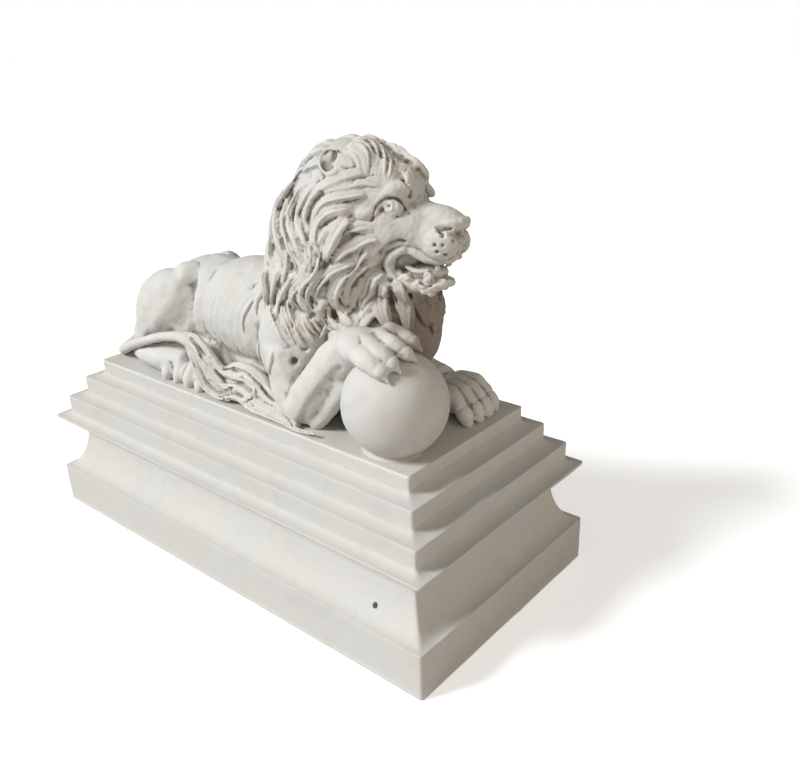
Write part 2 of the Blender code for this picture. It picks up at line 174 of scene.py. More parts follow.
class Clay:
    """Closed shells in figure units, gathered before they are skinned as one."""

    def __init__(self) -> None:
        """Starts empty."""
        self.bm = bmesh.new()

    def mass(self, at: Place, radii: Place, turn: Place = (0, 0, 0), space: Matrix | None = None,
             sides: Sides = Sides.RIGHT, detail: int = 4) -> None:
        """Adds an ellipsoid, or two that mirror each other.

        Args:
            at: Its middle.
            radii: Its three radii.
            turn: Its roll, pitch and yaw in degrees.
            space: The frame these are given in.
            sides: Whether the left side gets one too.
            detail: How finely it is divided.
        """
        for side in sides.value:
            spot = Vector((at[0], at[1] * side, at[2]))
            angles = Euler([math.radians(a) for a in (turn[0] * side, turn[1], turn[2] * side)])
            matrix = Matrix.LocRotScale(spot, angles, Vector(radii))
            bmesh.ops.create_icosphere(self.bm, subdivisions=detail, radius=1.0,
                                       matrix=space @ matrix if space is not None else matrix)

    def limb(self, route: Sequence[Point], space: Matrix | None = None, sides: Sides = Sides.RIGHT,
             facets: int = 14, steps: int = 7, flat: float = 1.0) -> None:
        """Adds a round-ended bar that follows a smooth route, or two that mirror each other.

        Args:
            route: (x, y, z, radius) points.
            space: The frame these are given in.
            sides: Whether the left side gets one too.
            facets: Facets round the bar.
            steps: Rings to each stretch of the route.
            flat: Its height as a share of its width.
        """
        for side in sides.value:
            points = [(x, y * side, z, r) for x, y, z, r in route]
            if space is not None:
                points = [(*(space @ Vector(p[:3])), p[3]) for p in points]
            self.strand(smooth_route(points, steps), facets, flat)

    def strand(self, points: Sequence[Point], facets: int, flat: float = 1.0,
               normals: Sequence[Vector] | None = None, tilt: float = 0.0) -> None:
        """Adds a bar through every one of the points.

        Args:
            points: (x, y, z, radius) of each ring.
            facets: Facets round the bar.
            flat: Its thickness as a share of its width.
            normals: The way its flat side faces at each ring. Level if left out.
            tilt: How far it leans about its own length, in radians.
        """
        mesh = STOCK.bar(facets, len(points)).copy()
        local = np.empty(len(mesh.vertices) * 3)
        mesh.vertices.foreach_get("co", local)
        local = local.reshape(-1, 3)
        ring = np.clip(np.round(local[:, 2]), 0, len(points) - 1).astype(int)
        beyond = local[:, 2] - ring
        route = np.array(points, float)
        centre, radius = route[:, :3], np.maximum(route[:, 3], 0.02)
        along = np.gradient(centre, axis=0)
        along /= np.linalg.norm(along, axis=1)[:, None] + 1e-9
        facing = np.array([(0.0, 0.0, 1.0)] * len(points) if normals is None
                          else [tuple(n) for n in normals])
        across = np.cross(along, facing)
        length = np.linalg.norm(across, axis=1)
        across[length < 1e-4] = (0, 1, 0)
        across /= np.linalg.norm(across, axis=1)[:, None]
        over = np.cross(across, along)
        across, over = (across * math.cos(tilt) + over * math.sin(tilt),
                        over * math.cos(tilt) - across * math.sin(tilt))
        size = radius[ring][:, None]
        spots = (centre[ring] + across[ring] * local[:, :1] * size + over[ring] * local[:, 1:2] * size
                 * flat + along[ring] * beyond[:, None] * size)
        mesh.vertices.foreach_set("co", spots.ravel())
        self.bm.from_mesh(mesh)
        bpy.data.meshes.remove(mesh)


def skinned(name: str, bm: bmesh.types.BMesh, voxel: float, smoothing: int) -> bmesh.types.BMesh:
    """Fuses closed shells into one skin of even facets.

    Args:
        name: A name for the work.
        bm: The shells, freed here.
        voxel: Facet size in figure units.
        smoothing: How often the skin is evened out.

    Returns:
        The skin.
    """
    mesh = bpy.data.meshes.new(name)
    bm.to_mesh(mesh)
    bm.free()
    rough = bpy.data.objects.new(name, mesh)
    bpy.context.scene.collection.objects.link(rough)
    remesh = rough.modifiers.new("Skin", "REMESH")
    remesh.mode = "VOXEL"
    remesh.voxel_size = voxel * 1.0
    remesh.adaptivity = 0.0
    smooth = rough.modifiers.new("Soften", "SMOOTH")
    smooth.factor = 0.5
    smooth.iterations = smoothing
    skin = bmesh.new()
    skin.from_object(rough, bpy.context.evaluated_depsgraph_get())
    bpy.data.objects.remove(rough)
    bpy.data.meshes.remove(mesh)
    return skin


def roughened(skin: bmesh.types.BMesh, coarse: float, fine: float) -> bmesh.types.BMesh:
    """Makes a skin a little uneven, as if worked by hand.

    Args:
        skin: The skin in figure units.
        coarse: How far the broad swellings go.
        fine: How far the small ones go.

    Returns:
        The same skin.
    """
    skin.normal_update()
    for vert in skin.verts:
        sway = noise.noise(vert.co * 0.22) * coarse + noise.noise(vert.co * 0.8) * fine
        vert.co += vert.normal * sway
    return skin


class Chisel:
    """Presses strokes into a skin along its normals, or raises it where the depth is negative."""

    def __init__(self, bm: bmesh.types.BMesh) -> None:
        """Indexes the skin.

        Args:
            bm: The skin to carve.
        """
        bm.normal_update()
        bm.verts.ensure_lookup_table()
        self.verts = bm.verts
        self.places = KDTree(len(bm.verts))
        for i, vert in enumerate(bm.verts):
            self.places.insert(vert.co, i)
        self.places.balance()

    def stroke(self, route: Sequence[Point], depth: float, space: Matrix | None = None,
               sides: Sides = Sides.RIGHT, steps: int = 8, edge: float = 2.0,
               along: Place | None = None) -> None:
        """Presses a groove along a route that is first moved to the skin.

        Args:
            route: (x, y, z, radius) points.
            depth: How deep the middle of the groove is.
            space: The frame these are given in.
            sides: Whether the left side gets one too.
            steps: Points to each stretch of the route.
            edge: How round the groove is: 1 for steep edges, 2 or more for soft ones.
            along: The way the skin is pushed, instead of against its normals.
        """
        for side in sides.value:
            amounts: dict[int, float] = {}
            line = smooth_route(route, steps)
            spots = [Vector((x, y * side, z)) for x, y, z, _ in line]
            spots = [self.places.find(space @ spot if space is not None else spot)[0] for spot in spots]
            for _ in range(2):
                spots = [(a + b * 2 + c) / 4 for a, b, c in zip([spots[0], *spots], spots,
                                                                [*spots[1:], spots[-1]])]
            for point, (_, _, _, radius) in zip(spots, line):
                for _, index, distance in self.places.find_range(point, radius):
                    amount = depth * (1 - (distance / radius) ** 2) ** edge
                    amounts[index] = max(amount, amounts.get(index, 0.0), key=abs)
            push = None
            if along is not None:
                push = Vector((along[0], along[1] * side, along[2]))
                push = (space.to_3x3() @ push if space is not None else push).normalized()
            for index, amount in amounts.items():
                vert = self.verts[index]
                vert.co += push * amount if push is not None else -vert.normal * amount


def write_hollows(mesh: bpy.types.Mesh, reaches: Sequence[int], depth: float) -> None:
    """Stores on each point how far it lies below its surroundings, as the attribute hollow.

    Args:
        mesh: The finished mesh, in metres.
        reaches: How many rounds of evening out make the surroundings, for each scale looked at.
        depth: The depth that counts as 1, in metres.
    """
    count = len(mesh.vertices)
    places = np.empty(count * 3)
    mesh.vertices.foreach_get("co", places)
    places = places.reshape(-1, 3)
    normals = np.empty(count * 3)
    mesh.vertex_normals.foreach_get("vector", normals)
    normals = normals.reshape(-1, 3)
    ends = np.empty(len(mesh.edges) * 2, np.int64)
    mesh.edges.foreach_get("vertices", ends)
    first, second = ends.reshape(-1, 2).T
    links = np.maximum(np.bincount(ends, minlength=count), 1)
    even = places.copy()
    hollow = np.zeros(count)
    for step in range(1, max(reaches) + 1):
        for axis in range(3):
            column = even[:, axis]
            total = np.bincount(first, column[second], count) + np.bincount(second, column[first], count)
            even[:, axis] = 0.4 * column + 0.6 * total / links
        if step in reaches:
            hollow += ((even - places) * normals).sum(1) / depth / len(reaches)
    layer = mesh.attributes.new("hollow", "FLOAT", "POINT")
    layer.data.foreach_set("value", np.clip(hollow, -1, 1).astype(np.float32))


class Graph:
    """Adds nodes to a node tree and wires them."""

    def __init__(self, tree: bpy.types.NodeTree) -> None:
        """Keeps the tree.

        Args:
            tree: The tree to add to.
        """
        self.tree = tree

    def wire(self, value: object, socket: bpy.types.NodeSocket) -> None:
        """Links a socket to another, or sets its number or colour.

        Args:
            value: An output socket, a number or a colour.
            socket: The input.
        """
        if isinstance(value, bpy.types.NodeSocket):
            self.tree.links.new(value, socket)
        else:
            socket.default_value = value

    def noise(self, at: bpy.types.NodeSocket, scale: float, detail: float = 3.0, rough: float = 0.55,
              warp: float = 0.0) -> bpy.types.NodeSocket:
        """A noise pattern.

        Args:
            at: Coordinates in metres.
            scale: Features to the metre.
            detail: Octaves.
            rough: How strong the fine octaves are.
            warp: Distortion.

        Returns:
            Its value, about 0.2 to 0.8.
        """
        node = self.tree.nodes.new("ShaderNodeTexNoise")
        self.wire(at, node.inputs["Vector"])
        for name, value in (("Scale", scale), ("Detail", detail), ("Roughness", rough),
                            ("Distortion", warp)):
            node.inputs[name].default_value = value
        return node.outputs["Fac"]

    def spread(self, value: bpy.types.NodeSocket, low: float, high: float, to_low: float = 0.0,
               to_high: float = 1.0) -> bpy.types.NodeSocket:
        """Maps a value smoothly from one range to another.

        Args:
            value: What is mapped.
            low: Where it starts.
            high: Where it ends.
            to_low: What the start becomes.
            to_high: What the end becomes.

        Returns:
            The mapped value.
        """
        node = self.tree.nodes.new("ShaderNodeMapRange")
        node.interpolation_type = "SMOOTHSTEP"
        self.wire(value, node.inputs["Value"])
        for name, number in (("From Min", low), ("From Max", high), ("To Min", to_low),
                             ("To Max", to_high)):
            node.inputs[name].default_value = number
        return node.outputs["Result"]

    def maths(self, operation: str, a: object, b: object = 0.0) -> bpy.types.NodeSocket:
        """One sum.

        Args:
            operation: Its name, such as MULTIPLY.
            a: First value.
            b: Second value.

        Returns:
            The result.
        """
        node = self.tree.nodes.new("ShaderNodeMath")
        node.operation = operation
        self.wire(a, node.inputs[0])
        self.wire(b, node.inputs[1])
        return node.outputs[0]

    def mix(self, share: object, a: object, b: object) -> bpy.types.NodeSocket:
        """Mixes two colours.

        Args:
            share: How much of the second.
            a: First colour.
            b: Second colour.

        Returns:
            The mixed colour.
        """
        node = self.tree.nodes.new("ShaderNodeMix")
        node.data_type = "RGBA"
        self.wire(share, node.inputs[0])
        self.wire(a, node.inputs[6])
        self.wire(b, node.inputs[7])
        return node.outputs[2]


@dataclass(frozen=True)
class Plaster:
    """Cast plaster: off-white, matt, with warm dirt and painted shade in its hollows, wear and a painted
    highlight on raised parts, painted shade under the chin, faint patches and fine pores.
    """

    name: str
    # How strongly the hollows darken with dirt and painted shade.
    hollow_dirt_and_shade: float = 0.6
    pores: float = 0.5
    warm: float = 0.5
    # How strong the painted shade, with some dirt, under the chin is.
    chin_shade_and_dirt: float = 0.0
    base: tuple[float, float, float, float] = (0.54, 0.52, 0.48, 1.0)
    cool: tuple[float, float, float, float] = (0.515, 0.52, 0.51, 1.0)
    # Colour of stains and pores, and of the dirt and painted shade in the hollows and under the chin.
    stain_and_shade_colour: tuple[float, float, float, float] = (0.17, 0.13, 0.085, 1.0)
    grey: tuple[float, float, float, float] = (0.15, 0.14, 0.125, 1.0)

    def surface_group(self) -> bpy.types.NodeTree:
        """The node group that works out colour, roughness and relief, made once.

        Returns:
            The group.
        """
        name = "plaster_surface"
        if name in bpy.data.node_groups:
            return bpy.data.node_groups[name]
        group = bpy.data.node_groups.new(name, "ShaderNodeTree")
        for label, kind, value in (("Base", "NodeSocketColor", self.base),
                                   ("Cool", "NodeSocketColor", self.cool),
                                   ("Stain And Shade Colour", "NodeSocketColor", self.stain_and_shade_colour),
                                   ("Grey", "NodeSocketColor", self.grey), ("Hollow Dirt And Shade", "NodeSocketFloat", 0.6),
                                   ("Warm", "NodeSocketFloat", 0.5), ("Pores", "NodeSocketFloat", 0.5),
                                   ("Chin Shade And Dirt", "NodeSocketFloat", 0.0)):
            socket = group.interface.new_socket(label, in_out="INPUT", socket_type=kind)
            socket.default_value = value
        for label, kind in (("Colour", "NodeSocketColor"), ("Roughness", "NodeSocketFloat"),
                            ("Height", "NodeSocketFloat")):
            group.interface.new_socket(label, in_out="OUTPUT", socket_type=kind)
        graph = Graph(group)
        given = group.nodes.new("NodeGroupInput").outputs
        out = group.nodes.new("NodeGroupOutput").inputs
        at = group.nodes.new("ShaderNodeTexCoord").outputs["Object"]
        sunk = group.nodes.new("ShaderNodeAttribute")
        sunk.attribute_name = "hollow"
        hollow = sunk.outputs["Fac"]

        patches = graph.spread(graph.noise(at, 38.0, 4.0, 0.6, 0.4), 0.38, 0.66, 0.0, 0.8)
        colour = graph.mix(patches, given["Base"], given["Cool"])
        stains = graph.spread(graph.noise(at, 90.0, 5.0, 0.62, 0.8), 0.47, 0.70)
        warm = graph.maths("MULTIPLY", graph.maths("MULTIPLY", stains, given["Warm"]), 0.16)
        colour = graph.mix(warm, colour, given["Stain And Shade Colour"])
        # Hollows darkened towards a dirt tint: partly real dirt, partly painted shade where the crevices
        # lie in shadow.
        hollowness = graph.spread(hollow, 0.11, 0.55)
        uneven = graph.spread(graph.noise(at, 160.0, 4.0, 0.6, 0.3), 0.30, 0.60, 0.55, 1.0)
        dirt_and_shade = graph.maths("MULTIPLY", graph.maths("MULTIPLY", hollowness, uneven), given["Hollow Dirt And Shade"])
        tint = graph.mix(graph.spread(graph.noise(at, 55.0, 2.0), 0.42, 0.6), given["Stain And Shade Colour"],
                         given["Grey"])
        colour = graph.mix(dirt_and_shade, colour, tint)
        # Raised parts lightened: partly wear, partly a painted highlight.
        worn_and_highlit = graph.maths("MULTIPLY", graph.spread(graph.maths("MULTIPLY", hollow, -1.0), 0.10, 0.8), 0.35)
        colour = graph.mix(worn_and_highlit, colour, (0.66, 0.65, 0.61, 1.0))
        speck = group.nodes.new("ShaderNodeTexVoronoi")
        graph.wire(at, speck.inputs["Vector"])
        speck.inputs["Scale"].default_value = 620.0
        pits = graph.spread(speck.outputs["Distance"], 0.05, 0.22, 1.0, 0.0)
        sparse = graph.spread(graph.noise(at, 140.0, 2.0), 0.56, 0.66)
        pits = graph.maths("MULTIPLY", graph.maths("MULTIPLY", pits, sparse), given["Pores"])
        colour = graph.mix(graph.maths("MULTIPLY", pits, 0.5), colour, given["Stain And Shade Colour"])
        # Painted shade, with some dirt, on the chest under the chin and nearby parts, strongest close to
        # CHEST.
        away = group.nodes.new("ShaderNodeVectorMath")
        away.operation = "DISTANCE"
        graph.wire(at, away.inputs[0])
        away.inputs[1].default_value = CHEST
        near = graph.spread(away.outputs["Value"], 0.009, 0.030, 0.85, 0.0)
        colour = graph.mix(graph.maths("MULTIPLY", near, given["Chin Shade And Dirt"]), colour, given["Stain And Shade Colour"])
        graph.wire(colour, out["Colour"])
        graph.wire(graph.spread(graph.noise(at, 260.0, 3.0), 0.3, 0.7, 0.66, 0.84), out["Roughness"])

        fine = graph.maths("MULTIPLY", graph.noise(at, 1500.0, 3.0, 0.6), 0.22)
        lumps = graph.maths("MULTIPLY", graph.noise(at, 300.0, 3.0, 0.55), 0.9)
        relief = graph.maths("ADD", fine, lumps)
        graph.wire(graph.maths("SUBTRACT", relief, graph.maths("MULTIPLY", pits, 1.1)), out["Height"])
        return group

    def material(self) -> bpy.types.Material:
        """The finished material.

        Returns:
            A new material, or the one already made under this name.
        """
        if self.name in bpy.data.materials:
            return bpy.data.materials[self.name]
        material = bpy.data.materials.new(self.name)
        material.use_nodes = True
        tree = material.node_tree
        shader = tree.nodes["Principled BSDF"]
        surface = tree.nodes.new("ShaderNodeGroup")
        surface.node_tree = self.surface_group()
        for label, value in (("Base", self.base), ("Cool", self.cool), ("Stain And Shade Colour", self.stain_and_shade_colour),
                             ("Grey", self.grey), ("Hollow Dirt And Shade", self.hollow_dirt_and_shade), ("Warm", self.warm),
                             ("Pores", self.pores), ("Chin Shade And Dirt", self.chin_shade_and_dirt)):
            surface.inputs[label].default_value = value
        bump = tree.nodes.new("ShaderNodeBump")
        bump.inputs["Strength"].default_value = 0.55
        bump.inputs["Distance"].default_value = 0.00022
        tree.links.new(surface.outputs["Height"], bump.inputs["Height"])
        tree.links.new(bump.outputs["Normal"], shader.inputs["Normal"])
        tree.links.new(surface.outputs["Colour"], shader.inputs["Base Color"])
        tree.links.new(surface.outputs["Roughness"], shader.inputs["Roughness"])
        shader.inputs["Specular IOR Level"].default_value = 0.35
        return material


@dataclass
class Piece(ABC):
    """A closed piece of the cast: it builds its mesh in metres and dresses it."""

    name: str
    finish: Plaster

    @abstractmethod
    def mesh(self) -> bmesh.types.BMesh:
        """Builds the piece.

        Returns:
            Its mesh, in metres, in the frame of the CAD model.
        """

    def hollows(self, mesh: bpy.types.Mesh) -> None:
        """Marks the hollows, which the material darkens with dirt and painted shade.

        Args:
            mesh: The finished mesh.
        """
        write_hollows(mesh, (6, 24, 70), 0.00055)

    def make(self) -> bpy.types.Object:
        """Builds, dresses and places the piece.

        Returns:
            Its object.
        """
        bm = self.mesh()
        mesh = bpy.data.meshes.new(self.name)
        bm.to_mesh(mesh)
        bm.free()
        self.hollows(mesh)
        mesh.materials.append(self.finish.material())
        mesh.polygons.foreach_set("use_smooth", [True] * len(mesh.polygons))
        obj = bpy.data.objects.new(self.name, mesh)
        bpy.context.scene.collection.objects.link(obj)
        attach(obj, "root")
        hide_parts("lion_statue")
        logger.info("%s: %d faces", self.name, len(mesh.polygons))
        return obj


def placed(bm: bmesh.types.BMesh) -> bmesh.types.BMesh:
    """Moves a mesh from figure units to metres in the frame of the CAD model.

    Args:
        bm: The mesh.

    Returns:
        The same mesh.
    """
    bm.transform(Matrix.Translation((0, 0, FIGURE_FLOOR)) @ Matrix.Scale(FIGURE_UNIT, 4))
    return bm


@dataclass
class Plinth(Piece):
    """The stepped plinth, drawn up level by level from its underside, its edges softened and a little
    wavy."""

    slab_length: float = 0.1652
    slab_width: float = 0.0626
    slab_height: float = 0.0049
    hollow_drop: float = 0.0021
    step_tread: float = 0.0059
    step_height: float = 0.0061
    lip_tread: float = 0.0046
    lip_height: float = 0.0012
    lip_undercut: float = 0.0016
    cove_depth: float = 0.0085
    cove_height: float = 0.0212
    fillet_height: float = 0.0020
    base_standout: float = 0.0004
    base_height: float = 0.0150
    corner: float = 0.0009
    wave: float = 0.00016
    chip: float = 0.00005
    facets: int = 9
    bubble: Place = (0.0765, -0.0415, 0.0212)
    bubble_radius: float = 0.0013

    def outline(self) -> list[tuple[float, float]]:
        """The section of one side, from the slab's top edge down.

        Returns:
            (stand-out from the slab's edge, height below the slab's top) points.
        """
        rings = [(0.0, 0.0), (0.0, -self.slab_height)]
        treads = ((self.step_tread, self.step_height), (self.step_tread, self.step_height),
                  (self.lip_tread, self.lip_height))
        for tread, height in treads:
            out, level = rings[-1]
            for i in range(1, self.facets + 1):
                turn = 0.5 * math.pi * i / self.facets
                rings.append((out + tread * (1 - math.cos(turn)),
                              level - self.hollow_drop * math.sin(turn)))
            out, level = rings[-1]
            rings.append((out, level - height))
        lip_out, lip_under = rings[-1]
        base_out = lip_out + self.base_standout
        neck_out = lip_out - self.cove_depth
        cove_top = lip_under - self.lip_undercut
        for i in range(self.facets * 2 + 1):
            turn = 0.5 * math.pi * i / (self.facets * 2)
            rings.append((neck_out + (base_out - neck_out) * (1 - math.cos(turn)),
                          cove_top - self.cove_height * math.sin(turn) ** 0.9))
        level = rings[-1][1] - self.fillet_height
        rings.append((base_out, level))
        rings.append((base_out, level - self.base_height))
        return rings

    def softened(self, rings: Sequence[tuple[float, float]]) -> list[tuple[float, float]]:
        """Rounds the section's corners and divides its long runs.

        Args:
            rings: The sharp section.

        Returns:
            The soft section.
        """
        soft = [rings[0]]
        for before, corner, after in zip(rings, rings[1:], rings[2:]):
            a, b, c = Vector(before), Vector(corner), Vector(after)
            bend = (b - a).angle(c - b) if (b - a).length and (c - b).length else 0.0
            if bend < 0.5:
                soft.append(corner)
                continue
            reach = min(0.00055, 0.4 * (b - a).length, 0.4 * (c - b).length)
            start, end = b + (a - b).normalized() * reach, b + (c - b).normalized() * reach
            for t in (0.0, 0.33, 0.67, 1.0):
                soft.append(tuple(start * (1 - t) ** 2 + b * 2 * t * (1 - t) + end * t * t))
        soft.append(rings[-1])
        fine = [soft[0]]
        for before, after in zip(soft, soft[1:]):
            parts = max(1, round(math.dist(before, after) / 0.0012))
            for i in range(1, parts + 1):
                fine.append(tuple(p + (q - p) * i / parts for p, q in zip(before, after)))
        return fine

    def mesh(self) -> bmesh.types.BMesh:
        """Builds the plinth.

        Returns:
            Its mesh.
        """
        section = self.softened(self.outline())[::-1]
        floor = section[0][1]
        half = Vector((self.slab_length / 2, self.slab_width / 2, 0))
        inmost = 0.0003 - half.y
        under = [(inmost, floor), (-0.01, floor), (section[0][0] - 0.0004, floor)]
        over = [(inmost * share, section[-1][1]) for share in (0.02, 0.05, 0.12, 0.2, 0.3, 0.4, 0.5, 0.6,
                                                               0.7, 0.8, 0.9, 1)]
        bm = bmesh.new()
        bmesh.ops.create_grid(bm, x_segments=1, y_segments=1, size=1.0)
        bmesh.ops.scale(bm, vec=(half.x, half.y, 1), verts=bm.verts)
        bmesh.ops.bevel(bm, geom=bm.verts[:], offset=self.corner, segments=4, profile=0.5,
                        affect="VERTICES", material=-1)
        for edge in [e for e in bm.edges if e.calc_length() > 0.01]:
            bmesh.ops.subdivide_edges(bm, edges=[edge], cuts=int(edge.calc_length() / 0.0011))
        bmesh.ops.reverse_faces(bm, faces=bm.faces[:])
        size, level = half + Vector((1, 1, 0)) * inmost, 0.0
        bmesh.ops.scale(bm, vec=(size.x / half.x, size.y / half.y, 1), verts=bm.verts)
        top = bm.faces[:]
        for out, height in [*under[1:], (section[0][0], floor + 0.0004), *section[1:], *over]:
            top, verts = drawn_up(bm, top)
            new = half + Vector((1, 1, 0)) * out
            bmesh.ops.scale(bm, vec=(new.x / size.x, new.y / size.y, 1), verts=verts)
            bmesh.ops.translate(bm, vec=(0, 0, height - floor - level), verts=verts)
            size, level = new, height - floor
        bmesh.ops.recalc_face_normals(bm, faces=bm.faces)
        self.weather(bm)
        return self.pitted(bm)

    def weather(self, bm: bmesh.types.BMesh) -> None:
        """Makes the faces a little wavy and the edges uneven, as hand finishing leaves them.

        Args:
            bm: The plinth.
        """
        bm.normal_update()
        for vert in bm.verts:
            if vert.co.z < 0.0002:
                continue
            spot = vert.co
            sway = noise.noise(spot * 60) * self.wave + noise.noise(spot * 210
                                                                    + Vector((5, 3, 1))) * self.wave * 0.5
            grain = noise.noise(spot * 700) * self.chip
            vert.co += vert.normal * (sway + grain - 0.00008)

    def pitted(self, bm: bmesh.types.BMesh) -> bmesh.types.BMesh:
        """Opens the air bubble that the casting left in the cove.

        Args:
            bm: The plinth.

        Returns:
            The plinth with its hole.
        """
        solids = []
        for name, source in (("whole", bm), ("bubble", bmesh.new())):
            if name == "bubble":
                bmesh.ops.create_icosphere(source, subdivisions=3, radius=self.bubble_radius,
                                           matrix=Matrix.Translation(self.bubble))
            mesh = bpy.data.meshes.new(name)
            source.to_mesh(mesh)
            source.free()
            solids.append(bpy.data.objects.new(name, mesh))
            bpy.context.scene.collection.objects.link(solids[-1])
        cut = solids[0].modifiers.new("bubble", "BOOLEAN")
        cut.operation = "DIFFERENCE"
        cut.solver = "EXACT"
        cut.object = solids[1]
        result = bmesh.new()
        result.from_object(solids[0], bpy.context.evaluated_depsgraph_get())
        for solid in solids:
            bpy.data.meshes.remove(solid.data)
        return result

    def hollows(self, mesh: bpy.types.Mesh) -> None:
        """Marks the inner corners of the steps, which the material darkens with dirt and painted shade.

        Args:
            mesh: The finished mesh.
        """
        write_hollows(mesh, (3, 8), 0.0006)


@dataclass
class Ball(Piece):
    """The ball under the right paw, not quite round, with the low run of plaster at its foot."""

    unevenness: float = 0.18

    def mesh(self) -> bmesh.types.BMesh:
        """Builds the ball.

        Returns:
            Its mesh.
        """
        x, y, z, radius = BALL
        clay = Clay()
        clay.mass((x, y, z), (radius, radius, radius), detail=6)
        clay.mass((x - 1.0, y - 0.6, 0.4), (radius * 0.66, radius * 0.62, 1.7), detail=5)
        skin = skinned("ball", clay.bm, 0.5, 3)
        for vert in skin.verts:
            vert.co += (vert.co - Vector((x, y, z))).normalized() * noise.noise(vert.co
                                                                                * 0.12) * self.unevenness
        return placed(skin)


def add_trunk(clay: Clay) -> None:
    """Ribcage, loin, rump, thighs and the belly that meets the slab.

    Args:
        clay: Where they go.
    """
    clay.mass((-8, 0, 26), (37, 20, 22))
    clay.mass((-36, 0, 24), (30, 16.5, 21))
    clay.mass((-58, 0, 18), (20, 17, 19.5), (0, 12, 0))
    clay.mass((10, 0, 30), (24, 20, 20))
    clay.mass((-18, 0, 9), (46, 20.5, 15))
    clay.mass((-55, -13, 20), (18, 11, 22), (0, 42, 0), sides=Sides.BOTH)
    clay.mass((-44, -9.5, 35.5), (8.5, 6.5, 8), sides=Sides.BOTH)
    clay.mass((-61, -15, 10), (16, 8.5, 11), sides=Sides.BOTH)


def add_neck(clay: Clay, sunk: float = 0.0) -> None:
    """Neck, crown and chest, the ground that the mane lies on.

    Args:
        clay: Where they go.
        sunk: How much smaller each is made, so that the gaps between locks are deep.
    """
    for at, radii, turn in (
        ((22.6, 0, 47.5), (24.6, 21.4, 32.5), (0, 17, 0)),
        ((35.4, 0.5, 68.2), (22.0, 19.0, 25.0), (0, 0, 0)),
        ((34, 0, 56), (19, 22.5, 24), (0, 0, 0)),
        ((44, 1, 28), (19, 19, 22), (0, 0, 0)),
        ((40, 1, 14), (20, 17, 18), (0, 0, 0)),
        ((57, 4, 36), (10, 10, 17), (0, -8, 0)),
    ):
        clay.mass(at, tuple(radius - sunk for radius in radii), turn)


def add_forelegs(clay: Clay) -> None:
    """The shoulders, the left foreleg flat on the slab and the right one raised to the ball.

    Args:
        clay: Where they go.
    """
    clay.mass((19, -14, 25), (15, 11.5, 19), (0, 18, 0), sides=Sides.BOTH)
    clay.limb([(20, -17, 25, 10), (22, -19, 15, 9), (26, -22, 8, 7.5), (30, -24, 5, 5)])
    clay.limb([(29, -23.5, 6, 6.5), (35, -23.5, 13, 7), (43, -22.5, 23, 7), (50, -21.5, 30, 7),
               (57, -20.5, 33, 6.5)])
    clay.limb([(35.5, -23.5, 2, 3.0), (43, -23, 10.5, 3.2), (50.5, -22.5, 21, 3.6)])
    clay.limb([(17, 17, 25, 10), (18, 20, 15, 9.5), (18, 22, 8, 8)])
    clay.limb([(14, 21, 7.5, 7.5), (32, 22.5, 8, 8), (48, 20.5, 8, 7), (58, 17.5, 8, 6.8)])
    clay.mass((65, 15.8, 7), (10, 10, 6.6))
    for k in range(4):
        side = k - 1.5
        clay.limb([
            (62, 15.0 + 4.0 * side, 10.0, 3.2),
            (69.5 - 0.6 * abs(side), 15.0 + 4.6 * side, 10.2, 3.2),
            (73.2 - 0.8 * abs(side), 14.9 + 4.9 * side, 8.2, 2.7),
            (76.8 - abs(side), 14.8 + 5.1 * side, 4.6, 2.8),
            (78.6 - abs(side), 14.8 + 5.2 * side, 1.6, 2.0),
        ])


